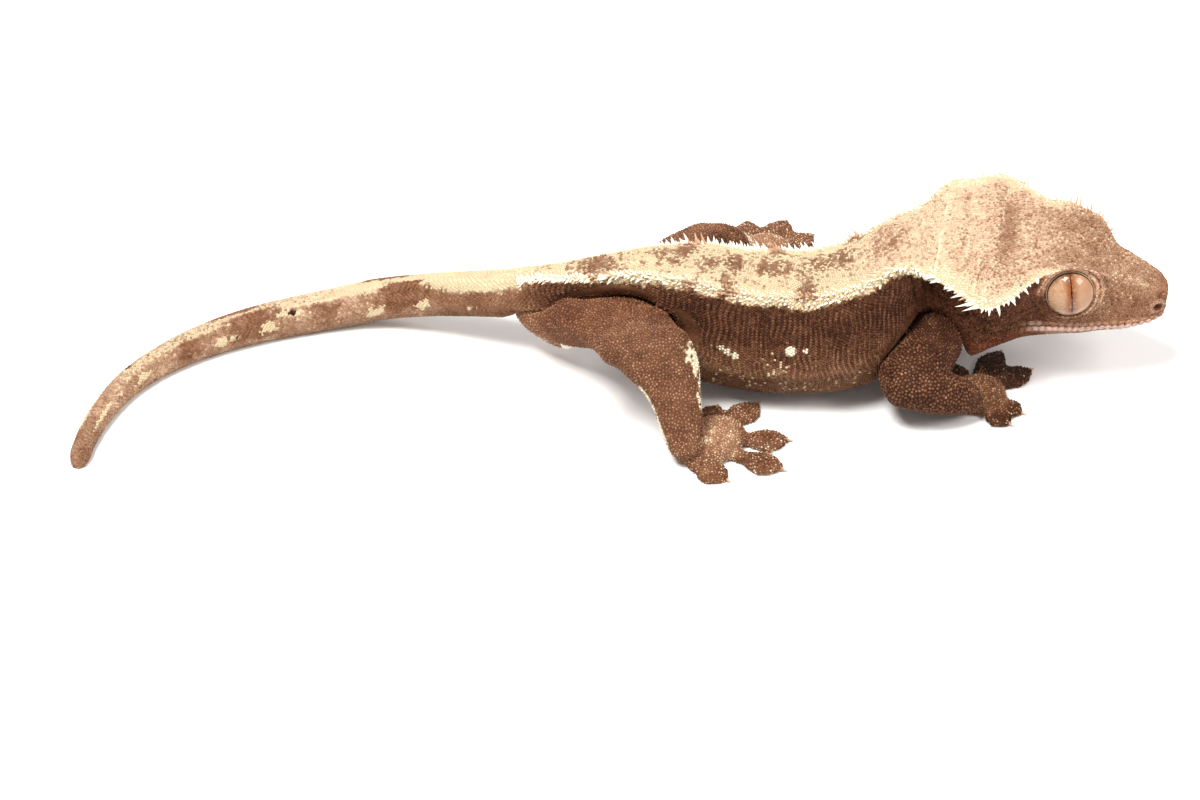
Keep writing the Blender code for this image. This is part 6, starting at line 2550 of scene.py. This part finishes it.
    def trunk_sides(self, hips: float, neck: float) -> list:
        """The trunk's rows, one piece for each side.

        On the flanks every other row stands higher and is lighter, the rows between lower and darker,
        broken up by noise; this is partly the ridges' own paleness and partly painted light on the
        ridges and painted shade in the furrows. Scales are higher on the back and where the skin
        has pale warts, and lower under the belly.

        Args:
            hips: length along the body where the trunk's pieces start.
            neck: length where they end.

        Returns:
            Each piece with its nodes.
        """
        lengths, columns, sides, even = self.rows(hips, neck, GRAINS[Cover.TRUNK].spacing)
        roots, kept = self.on_trunk(self.trunk.at(lengths, columns, sides)[0])
        flank = ease(roots.column, 2.3, 2.7) * ease(roots.column, 5.4, 4.2)
        ridge = np.where(even[kept], 1.0, -1.0) * flank
        ridge = ridge * ease(noise(roots.points, 2.2, 63) + noise(roots.points, 0.9, 64), -1.1, 0.5)
        # Higher rows painted lighter and lower ones darker: partly the ridges' own paleness, partly painted
        # light on the ridges and shade in the furrows.
        roots.marks[:, 1] += 0.095 * ridge * (1.0 - roots.marks[:, 0])
        back = ease(roots.column, 2.5, 2.1)
        wart = ease(roots.marks[:, 3], 0.4, 0.9)
        lift = 1.0 + 0.45 * ridge + 0.5 * back - 0.35 * ease(roots.column, 5.6, 6.6) + 1.2 * wart
        made = []
        for name, side in SIDES:
            on = roots.side * side > 0
            part = roots.pick(on)
            chart = np.stack([(part.along - hips) / (neck - hips), part.column / CHIN], axis=1)
            scale = 1.0 + 0.05 * ridge[on]
            piece = self.grow(f"scales_trunk_{name}", part, Cover.TRUNK, chart, scale, lift[on])
            made.append((piece, TRUNK_NODES))
        return made

    def head_sides(self, neck: float, end: float) -> list:
        """The head's scattered scales, one piece for each side.

        Args:
            neck: length along the body where the head's pieces start.
            end: length at the snout's tip.

        Returns:
            Each piece with its nodes.
        """
        roots = self.on_face(self.thrown(Cover.HEAD, 1))
        lift = 1.0 + 0.3 * layered_noise(roots.points, 2.0, 71)
        made = []
        for name, side in SIDES:
            on = roots.side * side > 0
            part = roots.pick(on)
            chart = np.stack([(part.along - neck) / (end - neck), part.column / CHIN], axis=1)
            piece = self.grow(f"scales_head_{name}", part, Cover.HEAD, chart, lift=lift[on])
            made.append((piece, HEAD_NODES))
        return made

    def limbs(self) -> list:
        """The scales of arms, legs, shoulders, hands and feet, a piece for each limb and kind."""
        made = []
        for number, cover in enumerate((Cover.ARM, Cover.LEG, Cover.TOES)):
            roots = self.thrown(cover, 2 + number)
            near_arms = roots.points[:, 0] > ARMS_FROM
            for leg in LIMBS:
                is_arm = leg.region is Region.ARM
                on = (near_arms == is_arm) & (roots.side * leg.side > 0)
                if on.sum() < FEW:
                    continue
                part = roots.pick(on)
                if cover is Cover.TOES:
                    foot = leg.name.replace("arm", "hand").replace("leg", "foot")
                    piece = self.grow(f"scales_{foot}", part, cover, flat_chart(part))
                    made.append((piece, (foot,)))
                    continue
                length = leg.name.replace("arm", "shoulder") if cover is Cover.LEG else leg.name
                piece = self.grow(f"scales_{length}", part, cover, round_chart(part))
                bones = ARM_NODES if is_arm else LEG_NODES
                side = leg.name.split("_")[1]
                made.append((piece, [f"{bone}_{side}" for bone in bones]))
        return made

    def lips(self, neck: float, end: float) -> tuple:
        """The plates along both lips: one row above the mouth and two below it, on each side.

        Args:
            neck: length along the body where the head starts.
            end: length at the snout's tip.

        Returns:
            The piece and its nodes.
        """
        first, last = self.body.length_at(LIP_STATIONS)
        rows = []
        for column, step in LIP_ROWS:
            for side in (LEFT, RIGHT):
                length = np.arange(first, last, step)
                rows.append(np.stack([length, 0 * length + column, 0 * length + side], axis=1))
        places = np.concatenate(rows)
        part = self.repaint(settle(self.trunk.at(*places.T)[0], self.skin)[0])
        turned = 0.5 + part.side * (part.column - 4.0) / 3.0
        chart = np.stack([(part.along - neck) / (end - neck), turned], axis=1)
        return self.grow("scales_lips", part, Cover.LIPS, chart), HEAD_NODES

    def vent(self) -> tuple:
        """The scattered scales of the bulge behind the vent."""
        part = self.thrown(Cover.VENT, 9)
        return self.grow("scales_vent", part, Cover.VENT, flat_chart(part)), ("tail_base",)

    def on_trunk(self, points: Array) -> tuple:
        """Roots of rows that lie on the body itself and not inside a limb, and their numbers."""
        roots, moved = settle(points, self.skin)
        on_body = np.abs(roots.region - Region.BODY.value) < 0.4
        keep = on_body & (moved < 0.9) | (moved < 0.16)
        return self.repaint(roots.pick(keep)), np.flatnonzero(keep)

    def repaint(self, roots: Roots) -> Roots:
        """Works the masks out anew at each root, where the skin is of one kind and no join is near.

        Args:
            roots: the roots, whose masks are changed.

        Returns:
            The same roots.
        """
        region = np.round(roots.region)
        whole = np.abs(roots.region - region) < 0.02
        fresh = self.marks.masks(roots.points, region, roots.along, roots.column, roots.side)
        share = np.where(whole, 1.0 - np.clip(roots.seam, 0.0, 1.0), 0.0)[:, None]
        roots.marks = roots.marks + share * (fresh - roots.marks)
        return roots

    def thrown(self, cover: Cover, seed: int) -> Roots:
        """Roots scattered over the part of the skin where one kind of scale grows."""
        points = scatter(self.skin, cover, GRAINS[cover].spacing, self.seed + seed)
        return self.repaint(settle(points, self.skin)[0])

    def on_face(self, roots: Roots) -> Roots:
        """The head's roots without those on the eyes, in the nostrils and in the mouth's line.

        Args:
            roots: the head's roots.

        Returns:
            Those that are kept.
        """
        local = in_head(roots.points)
        keep = local[:, 0] > -60.0
        for side in (LEFT, RIGHT):
            centre, facing = eye_place(side)
            away = roots.points - centre
            on_eye = np.linalg.norm(away, axis=1) < EYE_RADIUS + 0.16
            keep &= ~(on_eye & (away @ facing > 1.0))
            keep &= np.linalg.norm(local - NOSTRIL * mirror(side), axis=1) > 0.75
            keep &= np.linalg.norm((local - EAR * mirror(side)) / (0.8, 2.0, 1.4), axis=1) > 0.85
        in_mouth = (np.abs(roots.column - LIP) < 0.08) & (local[:, 0] > -24.0)
        return roots.pick(keep & ~in_mouth)


def flat_chart(roots: Roots) -> Array:
    """A foot unwrapped from above, with its upper side on the left and its sole on the right."""
    low, high = roots.points.min(axis=0), roots.points.max(axis=0)
    share = (roots.points - low) / (high - low)
    under = (roots.normals[:, 2] < 0).astype(float)
    return np.stack([0.5 * share[:, 0] * 0.98 + 0.5 * under, share[:, 1]], axis=1)


def round_chart(roots: Roots) -> Array:
    """A limb unrolled: length along it by turn round it."""
    quarter = 0.25 * (1.0 + np.clip(roots.column, -1.0, 1.0))
    turned = np.where(roots.normals[:, 2] > 0, quarter, 1.0 - quarter)
    return np.stack([np.clip(roots.along / 2.0, 0.0, 1.0), turned], axis=1)


def cover_of(body: Body, region: Array, along: Array) -> Array:
    """The number of the cover that grows at each point of the skin.

    Args:
        body: the loft that the trunk and head follow.
        region: each point's region.
        along: its length along the body, or stretch along a limb.

    Returns:
        One cover's number for each point.
    """
    cover = np.where(body.station_at(along) < NECK_AT, Cover.TRUNK.value, Cover.HEAD.value)
    on_arm, on_leg = region == Region.ARM.value, region == Region.LEG.value
    cover[on_arm] = Cover.ARM.value
    cover[on_leg] = Cover.LEG.value
    cover[on_arm & (along < SHOULDER_TO)] = Cover.LEG.value
    cover[(on_arm | on_leg) & (along > TOES_FROM)] = Cover.TOES.value
    cover[region == Region.VENT.value] = Cover.VENT.value
    return cover.astype(float)


@dataclass
class Claws:
    """The short bent claws at all toe tips, and the two egg-shaped spurs beside the vent.

    At share t of a claw's length its middle is root + t * length * ahead - t squared * drop,
    and its radius is half the thickness times (1 - t) to the power of the taper. The root is the
    inset behind the toe's tip. The last ring stands at the reach, just before the point.
    """

    length: float = 1.55
    thickness: float = 0.7
    height: float = 0.46
    drop: float = 0.3
    inset: float = 0.75
    taper: float = 0.8
    reach: float = 0.97
    rings: int = 9
    around: int = 10
    spurs: tuple = (((-5.3, 7.5, 6.0), (0.9, 0.3, 0.0)), ((-5.3, 15.7, 6.0), (0.9, -0.3, 0.0)))
    spur_size: tuple = (0.9, 1.2, 0.9)
    spur_marks: tuple = (0.95, 0.9, 0.1, 0.3)  # cream, tone, rose and pale
    spur_tip: float = 0.9

    def claws(self, material: bpy.types.Material) -> bpy.types.Object:
        """One piece of twenty bent cones.

        Args:
            material: the finish.

        Returns:
            The piece.
        """
        toes = [toe for leg in LIMBS for toe in leg.foot.toes]
        tips = np.array([(*toe.tip, self.height) for toe in toes])
        ahead = unit(tips - np.array([(*toe.base, self.height) for toe in toes]))
        across = np.cross(ahead, (0.0, 0.0, 1.0))
        t = np.linspace(0.0, self.reach, self.rings)
        turn_round = full_turn(self.around)
        along = (t * self.length - self.inset)[None, :, None]
        up = np.array((0.0, 0.0, 1.0))
        middle = tips[:, None] + along * ahead[:, None]
        middle = middle - (self.drop * t**2)[None, :, None] * up
        radius = (0.5 * self.thickness * (1.0 - t) ** self.taper)[None, :, None, None]
        ring = radius * (
            np.cos(turn_round)[None, None, :, None] * across[:, None, None]
            + np.sin(turn_round)[None, None, :, None] * up
        )
        points, faces, first = [], [], 0
        for rings in middle[:, :, None] + ring:
            body, new = closed_rings(rings, first)
            points.append(body)
            faces.append(new)
            first += len(body)
        made = mesh_object("claws", place(np.concatenate(points)), np.concatenate(faces))
        tip = np.concatenate([np.repeat(t, self.around), [0.0, 1.0]])
        write_values(made.data, "tip", np.tile(tip, len(toes)))
        return dress(made, material)

    def vent_spurs(self, material: bpy.types.Material) -> bpy.types.Object:
        """The pair of enlarged cream scales, one on each side.

        Args:
            material: the finish.

        Returns:
            The piece.
        """
        points, faces = np.zeros((0, 3)), np.zeros((0, 3), int)
        for centre, along in self.spurs:
            ball, more = closed_rings(ellipsoid(centre, self.spur_size, along), len(points))
            points = np.concatenate([points, ball])
            faces = np.concatenate([faces, more])
        made = mesh_object("vent_spurs", place(points), faces)
        write_values(made.data, "marks", np.tile(self.spur_marks, (len(points), 1)))
        write_values(made.data, "tip", np.full(len(points), self.spur_tip))
        return dress(made, material)


@dataclass(frozen=True)
class ClawFinish:
    """Pinkish brown horn with fine streaks, paler towards the tip."""

    root: tuple = (0.3, 0.17, 0.11)
    tip: tuple = (0.62, 0.46, 0.34)
    streak: float = 0.25  # millimetres
    gloss: float = 0.35

    def build(self) -> bpy.types.Material:
        """Mixes both colours by the mesh's tip value and by noise."""
        material, graph, shader = new_material("claw_horn")
        share = graph.add("ShaderNodeAttribute", attribute_name="tip").outputs["Fac"]
        where = graph.add("ShaderNodeTexCoord").outputs["Object"]
        streaks = graph.speckle(where, self.streak, 3.0)
        uneven = graph.span(streaks, 0.3, 0.7, -0.25, 0.25)
        worn = graph.math("ADD", graph.span(share, 0.2, 0.9), uneven, clamp=True)
        graph.join(graph.mix(worn, self.root, self.tip), shader.inputs["Base Color"])
        graph.join(graph.span(streaks, 0.3, 0.7, 0.35, 0.5), shader.inputs["Roughness"])
        shader.inputs["Specular IOR Level"].default_value = self.gloss
        return material


@dataclass
class Eye:
    """One eyeball: a glossy dome with a pale iris, a ragged upright slit and a dark rim."""

    side: int
    slit_lean: float = -0.2
    reach: float = 112.0  # degrees from the pole at which the dome ends
    rings: int = 72
    around: int = 144

    def axes(self) -> tuple:
        """Centre, facing, upward and sideways directions of the eye."""
        centre, facing = eye_place(self.side)
        facing = unit(facing)
        up = HEAD_TURN @ np.array((self.slit_lean, 0.0, 1.0))
        up = unit(up - (up @ facing) * facing)
        return centre, facing, up, np.cross(facing, up)

    def build(self, material: bpy.types.Material) -> bpy.types.Object:
        """A sphere by angle from its pole and turn round it, cut off behind; its map is flat.

        Args:
            material: the finish.

        Returns:
            The piece.
        """
        centre, facing, up, sideways = self.axes()
        polar = np.linspace(0.0, np.radians(self.reach), self.rings)[:, None]
        turn_round = full_turn(self.around)[None, :]
        a = EYE_RADIUS * np.sin(polar) * np.cos(turn_round)
        b = EYE_RADIUS * np.sin(polar) * np.sin(turn_round)
        c = EYE_RADIUS * np.cos(polar) + 0.0 * turn_round
        points = centre + a[..., None] * sideways + b[..., None] * up + c[..., None] * facing
        body, faces = closed_rings(points[1:])
        made = mesh_object(f"eyeball_{'left' if self.side == LEFT else 'right'}", place(body), faces)
        flat = body - centre
        write_values(made.data, "eye_x", flat @ sideways * -self.side / EYE_OPENING)
        write_values(made.data, "eye_y", flat @ up / EYE_OPENING)
        return dress(made, material)


@dataclass(frozen=True)
class EyeFinish:
    """The eye's look: a clear coat over a streaked iris, with a wavy slit.

    Flush is the reddish colour beside the slit and in the veins, and rim the ring of bare skin
    round the iris, which begins where the eye's own radius reaches its edge.
    """

    iris: tuple = (0.36, 0.19, 0.1)
    flush: tuple = (0.2, 0.052, 0.012)
    pale: tuple = (0.45, 0.3, 0.185)
    rim: tuple = (0.5, 0.37, 0.25)
    dark: tuple = (0.004, 0.002, 0.002)
    edge: float = 0.95

    def build(self) -> bpy.types.Material:
        """Colours by the eye's own flat coordinates, which run from -1 to 1 in the opening."""
        material, graph, shader = new_material("eye")
        x = graph.add("ShaderNodeAttribute", attribute_name="eye_x").outputs["Fac"]
        y = graph.add("ShaderNodeAttribute", attribute_name="eye_y").outputs["Fac"]
        where = graph.add("ShaderNodeTexCoord").outputs["Object"]
        pair = graph.add("ShaderNodeCombineXYZ")
        graph.join(x, pair.inputs["X"])
        graph.join(y, pair.inputs["Y"])
        radius = graph.add("ShaderNodeVectorMath", operation="LENGTH")
        graph.join(pair.outputs[0], radius.inputs[0])
        away = radius.outputs["Value"]
        angle = graph.math("ARCTAN2", y, x)
        fibre_place = graph.add("ShaderNodeCombineXYZ")
        graph.join(graph.math("MULTIPLY", angle, 5.0), fibre_place.inputs["X"])
        graph.join(graph.math("MULTIPLY", away, 1.6), fibre_place.inputs["Y"])
        fibres = graph.add("ShaderNodeTexNoise")
        fibres.inputs["Scale"].default_value = 3.0
        fibres.inputs["Detail"].default_value = 5.0
        graph.join(fibre_place.outputs[0], fibres.inputs["Vector"])
        fibre = fibres.outputs["Fac"]
        vein = graph.speckle(where, 0.6, 6.0)
        colour = graph.mix(graph.span(fibre, 0.35, 0.68), self.iris, self.pale)
        near_slit = graph.math("ABSOLUTE", x)
        flush = graph.math("MULTIPLY", graph.span(near_slit, 0.42, 0.04), graph.span(vein, 0.2, 0.48))
        colour = graph.mix(graph.math("MULTIPLY", flush, 0.95), colour, self.flush)
        colour = graph.mix(graph.span(vein, 0.6, 0.72, 0.0, 0.5), colour, self.flush)
        # Painted shade: the iris darkens towards one side, the same side of each eye.
        colour = graph.mix(graph.span(x, 0.1, -0.8, 0.0, 0.85), colour, self.iris)
        wave = graph.add("ShaderNodeTexNoise", noise_dimensions="1D")
        wave.inputs["Scale"].default_value = 6.0
        wave.inputs["Detail"].default_value = 2.0
        graph.join(y, wave.inputs["W"])
        ragged = graph.span(wave.outputs["Fac"], 0.3, 0.7, 0.006, 0.034)
        slit_width = graph.math("MULTIPLY", ragged, graph.span(graph.math("ABSOLUTE", y), 0.95, 0.55))
        inside = graph.math("SUBTRACT", near_slit, slit_width)
        colour = graph.mix(graph.span(inside, 0.014, 0.0), colour, self.dark)
        colour = graph.mix(graph.span(away, self.edge, self.edge + 0.02), colour, self.rim)
        line = graph.math("ABSOLUTE", graph.math("SUBTRACT", away, self.edge))
        colour = graph.mix(graph.span(line, 0.028, 0.008, 0.0, 0.95), colour, self.dark)
        # Painted shade: the eyeball is black beyond its opening, under the lids in the socket.
        colour = graph.mix(graph.span(away, 1.0, 1.04), colour, self.dark)
        graph.join(colour, shader.inputs["Base Color"])
        plain = {
            "Roughness": 0.35,
            "Coat Weight": 1.0,
            "Coat Roughness": 0.03,
            "Coat IOR": 1.36,
            "Specular IOR Level": 0.05,
        }
        for name, value in plain.items():
            shader.inputs[name].default_value = value
        return material


@dataclass(frozen=True)
class Studio:
    """The pale floor, the soft lights and the camera.

    Distances are in metres, and focal length and sensor width in millimetres. The floor reaches
    as far as its half size on all sides and rises by its rise from a share of the way back.
    """

    height: float = 38.0  # degrees that the camera looks down by
    distance: float = 0.6
    focal: float = 109.8
    sensor: float = 36.0
    floor_colour: tuple = (0.86, 0.85, 0.84)
    floor_half: float = 3.0
    floor_rise: float = 1.2
    rise_from: float = 0.62
    floor_rows: int = 60
    floor_columns: int = 13
    surround: float = 0.42  # strength of the even light from all around

    def floor(self) -> bpy.types.Object:
        """A wide pale floor that curves up far behind the animal."""
        across = np.linspace(-self.floor_half, self.floor_half, self.floor_columns)
        run = np.linspace(0.0, 1.0, self.floor_rows)[:, None]
        depth = self.floor_half * (2.0 * run - 1.0)
        rise = self.floor_rise * ease(run, self.rise_from, 1.0) ** 1.5
        points = np.stack(np.broadcast_arrays(across[None], depth, rise), axis=-1)
        grid = np.arange(self.floor_rows * self.floor_columns).reshape(points.shape[:2])
        corners = (grid[:-1, :-1], grid[:-1, 1:], grid[1:, 1:], grid[1:, :-1])
        faces = np.stack(corners, axis=-1).reshape(-1, 4)
        made = mesh_object("studio_floor", points.reshape(-1, 3), faces)
        material, _, shader = new_material("pale_floor")
        shader.inputs["Base Color"].default_value = (*self.floor_colour, 1.0)
        shader.inputs["Roughness"].default_value = 0.8
        dress(made, material)
        return made

    def camera(self) -> bpy.types.Object:
        """The camera at the photo's angle, aimed at the middle of the frame."""
        tilt = np.radians(self.height)
        aim = place(np.zeros(3))
        spot = aim + self.distance * np.array((0.0, -np.cos(tilt), np.sin(tilt)))
        lens = bpy.data.cameras.new("camera")
        lens.lens = self.focal
        lens.sensor_width = self.sensor
        lens.clip_start = 0.01
        lens.clip_end = 20.0
        made = new_object("camera", lens)
        made.location = spot
        made.rotation_euler = (np.pi / 2.0 - tilt, 0.0, 0.0)
        bpy.context.scene.camera = made
        return made

    def light(
        self, name: str, spot: tuple, size: float, power: float, colour: tuple
    ) -> bpy.types.Object:
        """A square soft light that looks at the animal.

        Args:
            name: the lamp's name.
            spot: where it hangs, in metres.
            size: the length of its edge, in metres.
            power: watts.
            colour: its red, green and blue.

        Returns:
            The lamp.
        """
        lamp = bpy.data.lights.new(name, "AREA")
        lamp.size = size
        lamp.energy = power
        lamp.color = colour
        made = new_object(name, lamp)
        made.location = spot
        look = Vector((0.0, 0.0, 0.01)) - Vector(spot)
        made.rotation_euler = look.to_track_quat("-Z", "Y").to_euler()
        return made

    def build(self) -> None:
        """Sets up floor, camera, lights and a faint pale surround."""
        self.floor()
        self.camera()
        self.light("key", (-0.3, -0.3, 1.0), 0.35, 17.0, (1.0, 0.985, 0.96))
        self.light("fill", (0.7, -0.35, 0.75), 0.4, 6.0, (1.0, 0.98, 0.97))
        self.light("back", (0.1, 0.8, 0.7), 0.8, 6.0, (1.0, 1.0, 1.0))
        world = bpy.data.worlds.new("surround")
        world.use_nodes = True
        background = world.node_tree.nodes["Background"]
        background.inputs["Color"].default_value = (1.0, 1.0, 1.0, 1.0)
        background.inputs["Strength"].default_value = self.surround
        bpy.context.scene.world = world
        bpy.context.scene.view_settings.view_transform = "Standard"


def declare(piece: bpy.types.Object, nodes: Array | list | tuple) -> None:
    """Fixes a piece to the body, says which nodes it stands for, and reports it."""
    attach(piece, "root")
    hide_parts(*nodes)
    logging.info("%s: %d points, %d faces", piece.name, len(piece.data.vertices), len(piece.data.polygons))


def move_points(mesh: bpy.types.Mesh, points: Array) -> None:
    """Gives all points of a mesh new places."""
    mesh.vertices.foreach_set("co", points.astype(np.float32).ravel())
    mesh.update()


def main() -> None:
    """Builds the animal and its studio, and reports each piece."""
    logging.basicConfig(level=logging.INFO, format="%(message)s")
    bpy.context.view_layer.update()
    group = markings_group()
    body = Body()
    trunk = Trunk(body)
    skin = Skin(trunk)
    marks = Markings(body)
    mesh = skin.mesh
    mesh.attributes.remove(mesh.attributes["known"])
    for name in PLACES:
        values = getattr(skin, name).astype(np.float32)
        mesh.attributes[name].data.foreach_set("value", values)
    write_values(mesh, "seam", skin.seam)
    write_values(mesh, "cover", cover_of(body, skin.region, skin.along))
    masks = marks.masks(skin.points, skin.region, skin.along, skin.column, skin.side)
    write_values(mesh, "marks", skin.soften(masks))
    move_points(mesh, skin.points)
    scales = MarkedFinish("scales", bump=0.12).build(group)
    for piece, nodes in Coat(body, trunk, mesh, scales, marks).build():
        declare(piece, nodes)
    for name in (*KNOWN, "cover"):
        mesh.attributes.remove(mesh.attributes[name])
    move_points(mesh, place(skin.points))
    flesh = [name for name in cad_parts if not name.startswith("eye")]
    # The skin's low plain tip paints it with the painted shade of the grooves between the scales.
    flesh_finish = MarkedFinish("skin", tip=0.15).build(group)
    declare(dress(new_object("skin", mesh), flesh_finish), flesh)
    declare(Spines(body, trunk).build(marks, scales), ("hips", "torso", "neck", "head"))
    feet = ("hand_right", "hand_left", "foot_right", "foot_left")
    declare(Claws().claws(ClawFinish().build()), feet)
    declare(Claws().vent_spurs(scales), ("tail_base",))
    glossy = EyeFinish().build()
    for name, side in SIDES:
        declare(Eye(side).build(glossy), (f"eye_{name}",))
    Studio().build()


if __name__ == "__main__":
    main()
